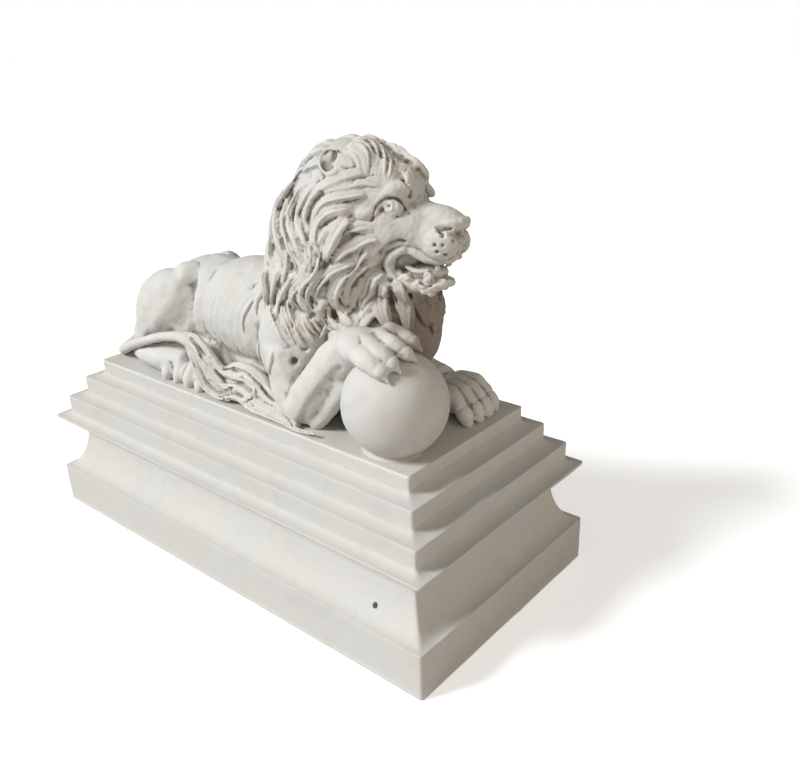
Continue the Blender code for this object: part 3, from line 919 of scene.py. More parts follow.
@dataclass
class Body(Piece):
    """Trunk, legs and paws in one skin, with its ribs, folds and toes carved."""

    voxel: float = 0.68
    rib_depth: float = 0.3
    toes: tuple[tuple[Point, ...], ...] = (
        ((54.6, -22.5, 33.2, 3.3), (64.7, -29.0, 34.0, 3.5), (69.1, -29.6, 32.5, 2.9),
         (72.5, -29.6, 30.9, 2.5)),
        ((61.0, -23.4, 36.5, 2.9), (68.2, -26.6, 35.6, 3.2), (71.8, -26.3, 34.1, 2.6),
         (74.0, -25.8, 32.9, 2.3)),
        ((59.1, -16.2, 36.6, 2.8), (68.5, -21.4, 37.2, 3.1), (72.1, -20.7, 35.9, 2.6),
         (74.3, -19.2, 34.4, 2.4)),
        ((61.4, -13.6, 37.9, 2.6), (64.2, -11.7, 36.3, 2.8), (68.6, -12.2, 35.7, 2.5),
         (70.5, -11.6, 34.6, 2.1)),
    )

    def mesh(self) -> bmesh.types.BMesh:
        """Builds the body.

        Returns:
            Its mesh.
        """
        clay = Clay()
        add_trunk(clay)
        add_forelegs(clay)
        clay.mass((24.5, 0, 40), (20, 19, 22), (0, 17, 0))
        clay.mass((40, 1, 16), (18, 16, 18))
        self.add_hind_feet(clay)
        self.add_ball_paw(clay)
        skin = skinned("body", clay.bm, self.voxel, 5)
        self.carve(skin)
        return placed(roughened(skin, 0.35, 0.12))

    def add_hind_feet(self, clay: Clay) -> None:
        """The hind feet, flat beside the trunk, toes splayed outwards.

        Args:
            clay: Where they go.
        """
        clay.limb([(-70, -19, 4.5, 4.5), (-60, -21, 6, 6), (-48, -21.5, 7, 7), (-35, -20.5, 7, 7)],
                  flat=0.9, sides=Sides.BOTH)
        clay.mass((-31, -23.4, 4.4), (13.5, 4.8, 4.6), sides=Sides.BOTH)
        for k in range(4):
            clay.limb([(-42 + 6.6 * k, -20.5, 8.2, 3.6), (-42 + 6.7 * k, -24.6, 6.8, 3.2),
                       (-42 + 6.8 * k, -27.0, 3.2, 2.7), (-42 + 6.8 * k, -28.2, 0.8, 1.6)],
                      sides=Sides.BOTH)

    def add_ball_paw(self, clay: Clay) -> None:
        """The right paw, its four fingers draped over the ball.

        Args:
            clay: Where it goes.
        """
        clay.mass((58, -20.5, 33.6), (10.2, 8.8, 5.6), (0, 8, 5))
        for k, toe in enumerate(self.toes):
            clay.limb([(58.5 + 0.8 * k, -24.4 + 3.2 * k, 35.4, 3.0), *toe], steps=5, facets=14)
            pad, end = Vector(toe[-2][:3]), Vector(toe[-1][:3])
            claw = end + (end - pad).normalized() * 2.3 + Vector((0, 0, -1.0))
            clay.limb([(*end.lerp(pad, 0.3), 1.4), (*claw, 0.9)], facets=8)

    def carve(self, skin: bmesh.types.BMesh) -> None:
        """Presses the folds, ribs and toes into the skin.

        Args:
            skin: The body's skin in figure units.
        """
        both = Sides.BOTH
        chisel = Chisel(skin)
        chisel.stroke([(-40.5, -10, 45, 2.6), (-38, -15, 38, 4.0), (-38.5, -18, 31, 5.4),
                       (-43, -19, 22, 6.6), (-53, -21, 14, 6), (-60, -23, 10, 4)], 2.4, sides=both,
                      along=(0.3, 1, 0))
        for _ in range(3):
            bmesh.ops.smooth_vert(skin, verts=skin.verts, factor=0.5, use_axis_x=True, use_axis_y=True,
                                  use_axis_z=True)
        for k in range(8):
            x = -19 + 4.6 * k + 0.5 * math.sin(2.3 * k)
            route = [(x + 2, -12, 47, 1.4), (x - 3, -18, 41, 1.9), (x - 6.5, -20, 33, 2.2),
                     (x - 8, -20, 24, 2.0), (x - 8, -20, 17, 1.2)]
            chisel.stroke(route, self.rib_depth * (0.7 + 0.3 * math.sin(1.7 * k)), sides=both, steps=6)
        chisel = Chisel(skin)
        chisel.stroke([(4, -19, 36, 3), (5, -19, 28, 3.8), (8, -20, 20, 3.6), (14, -22, 12, 3.2),
                       (20, -24, 8, 2.4)], 0.5,
                      sides=both, along=(0, 1, 0))
        chisel.stroke([(33, -28, 4, 2.2), (39.5, -28, 13, 2.8), (46, -27, 21, 3.0), (52, -26, 28, 2.4)],
                      0.7)
        for spot in ((27.9, -23.9, 23.1, 1.7), (31.6, -22.2, 27.6, 1.5)):
            chisel.stroke([spot, spot], 3.2, steps=1, edge=1.6)
        for slot in (((-39.2, -28, 8.8, 0.6), (-37.4, -28, 5.9, 0.9), (-35.4, -28, 3.1, 0.9),
                      (-34.4, -28, 0.5, 0.8)),
                     ((-31.2, -26, 10.6, 0.6), (-30.6, -28, 7.6, 1.0), (-30.4, -28, 3.3, 0.9)),
                     ((-23.6, -27, 9.6, 0.6), (-22.6, -28, 7.8, 1.0), (-22.2, -28, 4.6, 0.8))):
            chisel.stroke(slot, 1.6, sides=both, along=(0, 1, 0))
        for low, high in zip(self.toes, self.toes[1:]):
            crease = [(*((Vector(a[:3]) + Vector(b[:3])) / 2 + Vector((0.6, 0, 0.8))), 0.8) for a,
                      b in zip(low, high)]
            chisel.stroke(crease, 0.4, steps=10)
        for toe in self.toes:
            x, y, z = (Vector(toe[2][:3]) + Vector(toe[3][:3])) / 2
            chisel.stroke([(x, y - 2.6, z + 1, 0.6), (x + 0.6, y, z + 3, 0.6), (x, y + 2.6, z + 2, 0.6)],
                          0.4)
        for k in range(3):
            side = k - 1.0
            route = [(64, 15.0 + 4.1 * side, 12, 1.0), (71, 14.9 + 4.7 * side, 12, 1.2),
                     (78, 14.8 + 5.2 * side, 4, 1.1)]
            chisel.stroke(route, 0.6, steps=10)
        for k in range(4):
            x, y = 76.4 - 0.7 * abs(k - 1.5), 14.8 + 5.1 * (k - 1.5)
            chisel.stroke([(x - 1.2, y - 2.4, 6.6, 0.7), (x, y, 7.8, 0.8), (x - 1.2, y + 2.4, 6.6, 0.7)],
                          0.5)
            chisel.stroke([(x + 3, y - 1.8, 2.6, 0.6), (x + 3.6, y, 3.6, 0.7), (x + 3, y + 1.8, 2.6, 0.6)],
                          0.6)


@dataclass
class Tail(Piece):
    """The tail over the right hind foot and its tuft of wavy strands along the slab's edge."""

    voxel: float = 0.42
    seed: int = 5
    strands: tuple[tuple[Point, ...], ...] = (
        ((-27.2, -26.6, 22.6, 0.8), (-20.1, -27.0, 22.4, 1.2), (-15.5, -27.0, 19.3, 1.5),
         (-12.2, -26.6, 15.3, 1.7), (-7.9, -26.0, 11.8, 1.9), (-1.5, -25.8, 11.3, 1.9),
         (5.1, -26.2, 11.9, 1.9), (10.1, -26.6, 10.6, 1.9), (13.4, -27.0, 8.6, 1.8),
         (17.5, -27.2, 6.7, 1.8), (23.4, -27.6, 6.2, 1.7), (28.1, -28.0, 4.6, 1.4),
         (31.7, -28.4, 2.1, 0.9)),
        ((-24.5, -28.0, 20.8, 0.8), (-19.0, -28.2, 17.4, 1.5), (-15.9, -28.2, 12.6, 1.8),
         (-13.2, -28.2, 8.5, 1.7), (-9.2, -28.0, 6.2, 1.4), (-3.0, -27.8, 7.7, 1.4), (3.1, -27.8, 8.1, 1.7),
         (8.2, -28.2, 6.9, 1.7), (13.2, -28.6, 5.7, 1.7), (19.0, -28.8, 5.1, 1.6), (25.7, -29.0, 4.4, 1.3),
         (31.7, -29.4, 2.1, 0.8)),
        ((-26.2, -28.0, 18.5, 0.8), (-22.2, -28.2, 13.5, 1.6), (-19.1, -28.6, 8.4, 1.8),
         (-15.3, -29.0, 4.3, 1.6), (-8.7, -29.4, 2.7, 1.2), (-1.7, -29.4, 4.0, 1.2), (5.2, -29.6, 4.7, 1.4),
         (10.6, -29.8, 3.5, 1.5), (17.0, -30.0, 3.1, 1.4), (25.3, -30.2, 2.8, 1.1), (34.3, -30.4, 2.1, 0.9),
         (41.9, -30.4, 2.9, 0.6)),
        ((2.9, -25.6, 13.1, 1.1), (8.2, -27.0, 12.2, 1.2), (11.1, -28.0, 10.3, 1.2),
         (10.6, -28.8, 7.7, 1.2), (7.0, -29.2, 5.4, 1.0)),
        ((-7.5, -24.8, 12.7, 1.0), (-2.6, -23.6, 14.2, 1.8), (3.5, -23.2, 14.0, 2.4),
         (9.8, -23.4, 11.7, 2.6), (15.7, -24.4, 8.6, 2.4), (24.0, -25.8, 6.0, 1.8)),
        ((-18.6, -27.6, 17.3, 1.2), (-14.6, -27.6, 13.9, 1.4), (-11.3, -27.6, 9.9, 1.4),
         (-8.0, -27.4, 7.5, 1.2)),
    )

    def mesh(self) -> bmesh.types.BMesh:
        """Builds the tail.

        Returns:
            Its mesh.
        """
        clay = Clay()
        clay.limb([
            (-64, 0, 12, 5), (-76, -8, 7, 4), (-80, -15, 4.8, 3.2), (-80.1, -22.0, 3.2, 2.2),
            (-67.1, -25.2, 9.0, 2.0), (-58.7, -26.0, 12.3, 1.9), (-44.9, -26.4, 17.3, 1.8),
            (-34.2, -26.4, 19.7, 2.0), (-28.0, -26.0, 19.7, 2.6), (-24.0, -25.2, 17.7, 3.4),
            (-20.3, -24.6, 13.6, 4.0), (-17.0, -24.6, 9.1, 4.2), (-13.9, -24.4, 5.4, 4.0),
            (-8.0, -24.2, 4.4, 3.8), (0.0, -24.2, 5.3, 4.2), (7.6, -24.2, 5.3, 4.4),
            (15.5, -24.8, 4.1, 3.8), (23.8, -26.0, 3.1, 2.6), (31.0, -27.4, 1.5, 1.4),
        ])
        for route in self.strands:
            clay.limb(route, facets=10, flat=0.8)
        rng = random.Random(self.seed)
        for route in self.strands:
            for _ in range(2):
                drift = [(x + rng.uniform(-1, 1), y - 0.4 * r + rng.uniform(-0.4, 0.4),
                          z + rng.uniform(-0.5, 0.7) * r, 0.36 * r)
                         for x, y, z, r in route]
                clay.limb(drift, facets=8)
        skin = skinned("tail", clay.bm, self.voxel, 2)
        self.comb(skin)
        return placed(roughened(skin, 0.2, 0.12))

    def comb(self, skin: bmesh.types.BMesh) -> None:
        """Scratches wavy lines along the tuft and two slots at its start.

        Args:
            skin: The tail's skin in figure units.
        """
        chisel = Chisel(skin)
        rng = random.Random(self.seed + 1)
        for route in self.strands:
            for _ in range(4):
                out, rise, phase = rng.uniform(-0.9, 0.2), rng.uniform(-0.9, 0.9), rng.uniform(0, 6)
                line = [(x, y - 1.0 + out, z + rise * r + 0.25 * math.sin(phase + 0.5 * x), 0.5) for x, y,
                        z, r in route]
                chisel.stroke(line, rng.uniform(0.25, 0.45), steps=12, edge=1.2)
        chisel.stroke([(-12.2, -30.0, 7.8, 0.5), (-10.5, -30.0, 5.8, 0.9), (-7.5, -30.0, 5.0, 1.3),
                        (-3.5, -30.0, 5.7, 1.3), (0.2, -30.0, 7.8, 0.6)], 2.4, edge=1)
        chisel.stroke([(-4.6, -30.5, 2.4, 0.6), (-0.0, -30.5, 2.8, 1.0), (5.1, -30.5, 4.2, 0.8),
                        (9.4, -30.5, 3.8, 0.9), (10.3, -30.5, 3.3, 0.5)], 1.8, edge=1)
        chisel.stroke([(2.0, -28.0, 12.9, 0.7), (3.3, -28.0, 14.4, 0.5)], 1.6, edge=1)


@dataclass
class Mane(Piece):
    """One half of the mane: locks laid on the neck, the large ones along set routes and the rest in rows
    between."""

    half: int = 1
    voxel: float = 0.42
    seed: int = 7
    seam: float = 1.3
    rows: tuple[float, ...] = (52, 66, 80, 96, 112, 128, 146)
    spacing: float = 3.6
    lengths: tuple[float, float] = (15, 22)
    widths: tuple[float, float] = (1.3, 2.1)
    flat: float = 0.46
    lean: float = 0.5
    sunk: float = 0.7
    step: float = 1.6
    bottom: float = 20
    back: float = -8
    clear: float = 2.6
    locks: tuple[tuple[float, tuple[Place, ...]], ...] = (
        (1.2, ((2.9, 4.8, 21.2), (5.4, 4.8, 18.3), (11.8, -4.9, 15), (13.4, -9.2, 11.3))),
        (1.4, ((0.7, 3.6, 21.5), (5.5, 0.1, 19.2), (10.3, -5.3, 15.6), (12.2, -10.1, 11.1))),
        (1.4, ((0.7, -2.6, 21.6), (4.6, -3.3, 19.4), (8.3, -6.2, 15.8), (10, -10.5, 11.3))),
        (1.8, ((-3.9, -4.6, 22.1), (0.7, -3.2, 21.3), (5.1, -6, 17.8), (7.8, -10.9, 11.8))),
        (1.6, ((-3.5, -8.2, 20.3), (0, -7.5, 19.7), (3.4, -8.6, 17.3), (5.7, -11.4, 12.6))),
        (1, ((12.7, -8, 12.1), (9.8, -8.8, 12.9), (6.9, -9.9, 13.4), (4.4, -11.6, 13.5), (1.4, -13.5, 12.9),
              (-2.8, -15.5, 11.1), (-6.9, -16.4, 9.2), (-10.5, -16.7, 6.3), (-12.9, -16.7, 2.2),
              (-13.5, -17.2, -2.1), (-11.2, -19.2, -5.9))),
        (0.7, ((11.3, -10.4, 9.6), (8.5, -11.6, 10.1), (5.8, -12.8, 10.4), (2.6, -14.6, 9.8),
              (-0.1, -16, 8.6))),
        (0.7, ((3, -13.9, 10.9), (-0.2, -15.8, 9.2), (-3.9, -16.7, 8.2), (-7, -17, 7.2))),
        (1, ((9.6, -12.3, 7.6), (6.8, -13.5, 7.6), (4.7, -14.6, 7.4), (2.5, -15.7, 7), (-1, -16.9, 6.3),
              (-5.2, -17.6, 4.9), (-8.5, -17.8, 1.7), (-10, -18, -2.3), (-8.8, -19.5, -6.3))),
        (1.2, ((4.5, -15.6, 3.5), (1.4, -16.8, 3.2), (-2.7, -17.8, 2.4), (-6.2, -18, 0.4),
               (-8.3, -18.3, -2.8),
              (-8.3, -19.7, -6.9), (-6.7, -20.1, -10.3), (-6, -20.2, -13.4))),
        (1.8, ((3.5, -16.3, 0.9), (1.2, -17.2, -0.7), (-1.2, -17.6, -3.5), (-3, -18.3, -6.6),
              (-4.2, -19.5, -9.9), (-5.4, -20.1, -13.7))),
        (1, ((11, -13.6, -2.9), (8.8, -14.1, -2.5), (6.8, -14.8, -2.4), (4.6, -15.9, -2.7),
             (2.5, -16.7, -3.4),
              (0.6, -17.1, -5.3))),
        (1.2, ((12.2, -13.3, -5.2), (10.1, -14, -5.6), (7.8, -14.3, -6), (4.1, -15.3, -8),
               (1.1, -16.8, -9.6),
              (-1, -18.3, -12), (-2.6, -19.2, -13.9))),
        (1, ((9, -13.9, -7.2), (6.5, -14.5, -8), (4.5, -14.9, -9.3), (3.1, -15.5, -13), (0.6, -17.4, -14.5),
              (-2.2, -18.9, -15.8), (-4.8, -19.5, -18.1), (-7.6, -19.3, -21.3), (-10.4, -17.6, -25.5),
              (-11.7, -15.3, -29.5))),
        (1.3, ((9.9, -13.2, -9.4), (7.5, -13.9, -9.8), (5.5, -14.2, -11.2), (2.5, -15.9, -15.8),
              (0.1, -17.4, -17.7), (-1.9, -17.8, -20.7), (-3.7, -16.9, -24.9), (-3.9, -14.4, -29.1),
              (-1.7, -13.7, -30.9))),
        (1.3, ((10.4, -11.5, -12.1), (8.5, -12.5, -12.7), (6.3, -13.1, -13.5), (4.2, -14.4, -15.3),
              (2.1, -15.9, -18.1), (0.4, -16.1, -21.7), (-0.6, -14.7, -26), (0.4, -13.4, -29.7))),
        (1.9, ((10.7, -8.9, -16.3), (9.3, -10.3, -17.5), (7.3, -11.3, -19.1), (5, -11.2, -22.9),
              (3.8, -11.7, -26.8), (4.8, -13.5, -30.5))),
        (1.6, ((12.4, -11.4, -19.1), (10.5, -10.6, -21.7), (9.5, -9.5, -25.3), (11.3, -11.4, -28.6),
              (13.1, -12.1, -31.7), (14.8, -12, -35.1))),
        (1.5, ((15.5, -11.9, -19.3), (16.9, -10.7, -22.3), (17.8, -8.9, -26), (19.1, -9.3, -29.7),
              (19.5, -9.5, -33.5), (20.1, -9.1, -37.1))),
        (1.4, ((12.7, -10, -21), (11.9, -6.7, -25.3), (13.7, -7.9, -28.7), (15.4, -8.4, -32.3),
              (17.1, -8.2, -36.4))),
        (1.3, ((21.6, -8.1, -22), (21, -4.9, -26.2), (22.7, -4.6, -30), (24, -3.6, -34))),
        (1.3, ((24.7, -5.4, -22.5), (24, 0.7, -28.1), (25.1, 1.5, -33.1), (25.1, 0.8, -37.9))),
        (1.4, ((-9.1, -15.3, 11.4), (-11, -15.8, 8.9), (-14.5, -15.8, 4.5), (-17.1, -15.1, -0.4),
              (-15.7, -17.4, -4.7), (-12, -19.9, -8.7), (-9.8, -20.5, -12.4))),
        (1.4, ((-13.2, -13.4, 12.8), (-16.8, -13.9, 7.8), (-21.6, -11.8, 2), (-22.3, -12.9, -3.3),
              (-18, -17.1, -7.4), (-14.1, -19.7, -11.1), (-11.9, -20.3, -14.9))),
        (1.4, ((-17.6, -11.3, 12.1), (-24.6, -7.2, 6.1), (-26.9, -8.3, 0.3), (-25.5, -12.2, -4.6),
              (-22.7, -14.9, -8.8), (-18.7, -17.6, -12.8), (-16.6, -18.7, -16.6))),
        (1.4, ((-23.1, -6.7, 11.8), (-26.1, -8.9, 6.2), (-33.3, -3.3, -0.7), (-29.8, -10.3, -5.5),
              (-26.8, -13.6, -9.3), (-23.6, -15.5, -12.6), (-21.6, -16.5, -16.5))),
        (1.3, ((-25.6, -9, 7.5), (-32.8, -3.8, 2), (-34, -5.5, -4.4), (-30.9, -11.3, -9.3),
              (-30.5, -12.7, -13), (-31.4, -13, -17.1))),
        (1.3, ((-23.8, -14.4, -8.3), (-21.8, -15.9, -11.8), (-21.1, -16.6, -15.5), (-22.6, -16.5, -19.9),
              (-25.4, -15.6, -24.7))),
        (1.4, ((-15.5, -18.5, -7.6), (-11.4, -20.2, -10.1), (-9.9, -20.6, -13.7), (-11.5, -20, -18.1),
              (-15.9, -17.7, -21.9), (-19.6, -16.6, -25.2), (-20.7, -15.9, -28.7), (-19.1, -15.5, -32))),
        (1.5, ((-8.2, -20, -8.3), (-7, -20.4, -12.2), (-8.6, -20.4, -16.1), (-11.8, -19.7, -19.4),
              (-16.2, -17, -24), (-16.5, -16.2, -27.5), (-14.9, -15.3, -30.9), (-13.6, -14.5, -32.9))),
        (1.2, ((-6, -20.2, -14), (-8.4, -20.2, -17.7), (-11.7, -18.9, -22.1), (-13.9, -16.6, -26.5),
              (-13.4, -15.2, -30.4))),
        (1.4, ((-16.1, -18.8, -17.2), (-19.9, -16.9, -20.2), (-23, -16.2, -24.3), (-25.7, -15, -28.9),
              (-26.5, -15.4, -32.6), (-27.3, -16.8, -36.2))),
        (1.3, ((-23, -16.2, -16.4), (-26, -15.6, -19.4), (-28, -14.8, -24.1), (-30.4, -13.2, -29.8),
              (-29.6, -15.3, -34.4))),
        (1.2, ((-20.9, -16.4, -25.3), (-22.6, -15.5, -30.1), (-21, -16.5, -34.1), (-19.1, -17, -36.7))),
        (1, ((-10.9, -16.4, -27.5), (-11.2, -14.5, -31.3), (-10.1, -12.8, -34.9), (-7.5, -13.3, -36.8))),
        (1, ((-7.4, -16, -28.2), (-8.3, -13.1, -32.6), (-5.6, -13.8, -34.7), (-3, -15, -35.4))),
        (1, ((-3.3, -14.7, -28.3), (-2.9, -13.7, -31.1), (-0.1, -14.6, -32.5), (2.7, -14.9, -33))),
        (1, ((-16.5, -15.3, -31.7), (-15.7, -15, -35.1), (-14, -14.7, -38), (-12.2, -13.4, -40.1))),
        (1.4, ((-32.9, -12, -17.4), (-34.8, -11.1, -23.2), (-34.2, -11.3, -27.9), (-35.7, -10.2, -33.2))),
        (1.5, ((-31.8, -12.4, -30.1), (-30.1, -15.1, -34.5), (-26.5, -17.5, -38), (-23.2, -18.5, -42.1),
              (-20.2, -18.3, -45.2))),
        (1.1, ((-24.2, -15.4, -28.6), (-25, -15.8, -32.7), (-22.4, -17.4, -36.4), (-19.9, -17.9, -40.4),
              (-17.6, -17.4, -44.3))),
        (1.1, ((-19.9, -16.3, -34), (-19, -17.2, -37.4), (-17.2, -17.1, -40.6), (-15, -16, -44))),
        (1.1, ((-17.6, -15.6, -33.8), (-15.9, -16, -37.6), (-13.9, -15.2, -40.9), (-12.2, -13.6, -43.6))),
        (1.1, ((-13.9, -14.6, -32.9), (-13.1, -13.7, -36.8), (-11.5, -12.7, -39.5))),
        (1, ((-9, -12.6, -34.8), (-11.2, -12.4, -37.9), (-12.7, -14, -40.8))),
        (1.4, ((4.4, 4.8, 21.3), (8.7, 4.1, 18.4), (11.1, 2.8, 15.6), (15.2, -5.6, 13.2))),
        (1.4, ((6, 5.1, 20.4), (11.2, 4.1, 17), (14.1, 3.1, 14.5), (17.5, -2, 12.4))),
        (1.3, ((9, 4.2, 19), (14.3, 3.4, 15.7), (17.3, 4.5, 12.7), (17.5, 6.3, 9.5))),
    )
    skin: BVHTree | None = field(default=None, repr=False)
    taken: KDTree | None = field(default=None, repr=False)
    whole: ClassVar[bpy.types.Mesh | None] = None

    def mesh(self) -> bmesh.types.BMesh:
        """Cuts this half from the whole mane, which is sculpted once.

        Returns:
            Its mesh.
        """
        if Mane.whole is None:
            Mane.whole = self.sculpt()
        bm = bmesh.new()
        bm.from_mesh(Mane.whole)
        cut = bmesh.ops.bisect_plane(bm, geom=[*bm.verts, *bm.edges, *bm.faces], plane_no=(0, self.half, 0),
                                     plane_co=(0, self.seam * FIGURE_UNIT, 0), clear_outer=True)["geom_cut"]
        rim = [g for g in cut if isinstance(g, bmesh.types.BMEdge)]
        cap = bmesh.ops.triangle_fill(bm, use_beauty=True, use_dissolve=False, edges=rim)["geom"]
        bmesh.ops.recalc_face_normals(bm, faces=bm.faces)
        for edge in rim:
            edge.smooth = False
        logger.info("seam: %d edges, %d parts", len(rim), len(cap))
        return bm

    def hollows(self, mesh: bpy.types.Mesh) -> None:
        """Does nothing: the hollows were marked on the whole mane.

        Args:
            mesh: The finished half.
        """

    def sculpt(self) -> bpy.types.Mesh:
        """Sculpts both halves as one.

        Returns:
            The mane's mesh, in metres, its hollows marked.
        """
        ground = Clay()
        add_trunk(ground)
        add_neck(ground)
        add_forelegs(ground)
        add_skull(ground)
        base = skinned("ground", ground.bm, 1.2, 6)
        self.skin = BVHTree.FromBMesh(base)
        base.free()
        clay = Clay()
        add_neck(clay, self.sunk)
        lines = self.add_locks(clay)
        self.add_rows(clay)
        self.add_beard(clay)
        self.add_ears(clay)
        skin = skinned("mane", clay.bm, self.voxel, 2)
        self.comb(skin, lines)
        mesh = bpy.data.meshes.new("mane")
        placed(roughened(skin, 0.15, 0.1)).to_mesh(mesh)
        skin.free()
        write_hollows(mesh, (6, 24, 70), 0.00055)
        return mesh

    def comb(self, skin: bmesh.types.BMesh,
             lines: Sequence[tuple[float, list[Vector], list[Vector]]]) -> None:
        """Scratches fine lines along the large locks and hollows out the ears.

        Args:
            skin: The mane's skin in figure units.
            lines: Half the width, the middle and the normals of each large lock.
        """
        chisel = Chisel(skin)
        rng = random.Random(self.seed)
        for width, places, normals in lines:
            last = len(places) - 1
            if (head_frame().inverted() @ places[0]).x > 7 and places[0].z > 80:
                continue
            for offset in (-0.66, -0.3, 0.1, 0.5):
                if width < 2.2 and offset in (-0.3, 0.5):
                    continue
                shift = (offset + rng.uniform(-0.1, 0.1)) * width
                route = []
                for i, (place, normal) in enumerate(zip(places, normals)):
                    along = (places[min(i + 1, last)] - places[max(i - 1, 0)]).normalized()
                    spot = place + along.cross(normal) * shift * math.sin(math.pi
                                                                          * (0.12 + 0.8 * i / last)) ** 0.5
                    route.append((*(spot + normal * 0.6), 0.55))
                chisel.stroke(route, rng.uniform(0.18, 0.32), steps=4, edge=1.4)
        chisel.stroke([(-6.6, -11.2, 18.2, 1.9), (-7.2, -12.6, 16.3, 2.5), (-6.2, -14.0, 14.6, 1.9)], 1.2,
                      head_frame(), Sides.BOTH, edge=0.9)

    @property
    def axis(self) -> Vector:
        """The way the face looks, which the rows ring."""
        return head_frame().to_3x3() @ Vector((1, 0, -0.08)).normalized()

    def polar(self, point: Vector) -> float:
        """How far behind the face a point lies.

        Args:
            point: A point on the neck.

        Returns:
            Degrees between the face's axis and the way from the mane's heart to the point.
        """
        return math.degrees(self.axis.angle(point - MANE_HEART))

    def flow(self, point: Vector, normal: Vector, share: float) -> Vector:
        """The way the hair runs: away from the face, then downwards, and under the jaw back towards the
        chest.

        Args:
            point: A point on the neck.
            normal: The skin's normal there.
            share: How far along its lock the point is, from 0 to 1.

        Returns:
            A unit vector along the skin.
        """
        away = (point - MANE_HEART).normalized()
        back = (away * self.axis.dot(away) - self.axis).normalized()
        turn = min(max((self.polar(point) - 45) / 60, 0), 1)
        under = min(max((56 - point.z) / 14, 0), 1)
        side = min(max((76 - point.z) / 14, 0), 1)
        run = back * (1.0 - 1.3 * share * side) + Vector((0, 0, -1)) * (0.1 + 1.1 * turn + 1.6 * under
                                                                        + share * side)
        return (run - normal * run.dot(normal)).normalized()

    def path(self, place: Vector, normal: Vector, length: float, phase: float,
             sway: float) -> tuple[list[Vector], list[Vector]]:
        """Follows the flow over the skin.

        Args:
            place: Where the lock is rooted.
            normal: The skin's normal there.
            length: How long the lock is.
            phase: Where in its wave it starts.
            sway: How far it waves, in radians.

        Returns:
            Its points on the skin, and the normals there.
        """
        places, normals = [], []
        count = max(4, int(length / self.step))
        for i in range(count + 1):
            share = i / count
            places.append(place.copy())
            normals.append(normal.copy())
            wave = sway * math.sin(phase + 2 * math.pi * share * 0.8)
            run = Matrix.Rotation(wave, 3, normal) @ self.flow(place, normal, share)
            place, normal, _, _ = self.skin.find_nearest(place + run * self.step)
            if place.z < self.bottom - 4 or place.x < self.back or (i > 4 and self.near(place) < 1.4):
                break
        return places, normals

    def near(self, place: Vector) -> float:
        """Tells how far a place is from the nearest large lock.

        Args:
            place: A point on the neck.

        Returns:
            The distance in figure units.
        """
        return self.taken.find(place)[2]

    def bare(self, place: Vector) -> bool:
        """Tells whether a root would stand on the face or close behind its rim.

        Args:
            place: The root.

        Returns:
            True where no root belongs.
        """
        spot = head_frame().inverted() @ place
        if spot.z > 9:
            return spot.x > 9 - 0.4 * abs(spot.y)
        if spot.z > -13:
            return spot.x > -1.5
        return spot.x > 4

    def lock(self, clay: Clay, root: tuple[Vector, Vector], length: float, width: float, phase: float,
             rng: random.Random, sway: float = 0.35) -> None:
        """Lays one lock that follows the flow from its root.

        Args:
            clay: Where it goes.
            root: The place on the skin where it is rooted, and the normal there.
            length: How long it is.
            width: Half its width.
            phase: Where in its wave it starts.
            rng: Its own chance.
            sway: How far it waves, in radians.
        """
        places, normals = self.path(root[0], root[1], length, phase, sway)
        if len(places) > 3:
            self.lay(clay, places, normals, width, rng)

    def lay(self, clay: Clay, places: Sequence[Vector], normals: Sequence[Vector], width: float,
            rng: random.Random) -> None:
        """Lays a lock along a line: a flattened body with its lower edge proud, and thin strands on its
        back.

        Args:
            clay: Where it goes.
            places: Its middle line.
            normals: The skin's normals along it.
            width: Half its width.
            rng: Its own chance.
        """
        last = len(places) - 1
        tilt = self.lean * min(max(places[0].y / 8, -1), 1) * rng.uniform(0.7, 1.2)
        drift = [rng.uniform(-0.15, 0.15) for _ in range(4)]
        strands = ((0.0, 1.0), (-0.55, 0.36), (0.1, 0.4),
                   (0.62, 0.34)) if width > 1.25 else ((0.0, 1.0), (0.3, 0.5))
        for (offset, size), own in zip(strands, drift):
            points = []
            for i, (place, normal) in enumerate(zip(places, normals)):
                share = i / last
                along = (places[min(i + 1, last)] - places[max(i - 1, 0)]).normalized()
                level = along.cross(normal)
                across = level * math.cos(tilt) + normal * math.sin(tilt)
                over = normal * math.cos(tilt) - level * math.sin(tilt)
                body = math.sin(math.pi * min(0.14 + 0.86 * share, 1)) ** 0.55
                side = offset * width * body + own * width * math.sin(2 * math.pi * share)
                crest = self.flat * width * body * (0.6 if size < 1 else 0)
                ends = max(0.0, 1 - share / 0.16) + 0.6 * max(0.0, share / 0.15 - 5.67)
                rise = width * (0.3 * share - 0.3 - 0.8 * ends)
                spot = place + normal * rise + across * side + over * crest
                points.append((*spot, max(width * size * body, 0.2)))
            clay.strand(points, 10, self.flat if size == 1 else 0.8, normals, tilt)

    def add_locks(self, clay: Clay) -> list[tuple[float, list[Vector], list[Vector]]]:
        """Lays the large locks, on the left side as a mirror of the right one.

        Args:
            clay: Where they go.

        Returns:
            Half the width, the middle and the normals of each.
        """
        space = head_frame()
        lines = []
        for number, (width, spots) in enumerate(self.locks):
            for side in (1, -1):
                rng = random.Random(self.seed * 900 + number * 2 + side)
                places, normals = [], []
                for f, l, u, _ in smooth_route([(*spot, 0.0) for spot in spots], 5):
                    spot = space @ Vector((f, l * side, u))
                    place, normal, _, gap = self.skin.find_nearest(spot)
                    if side == 1 or gap < 7:
                        places.append(place.lerp(spot, min(1.0, 2.8 / max(gap, 0.1))) if side == 1
                                      else place)
                        normals.append(normal)
                if len(places) > 3:
                    self.lay(clay, places, normals, width * 1.85, rng)
                    lines.append((width * 1.75, places, normals))
        spots = [place for _, places, _ in lines for place in places]
        self.taken = KDTree(len(spots))
        for i, spot in enumerate(spots):
            self.taken.insert(spot, i)
        self.taken.balance()
        return lines

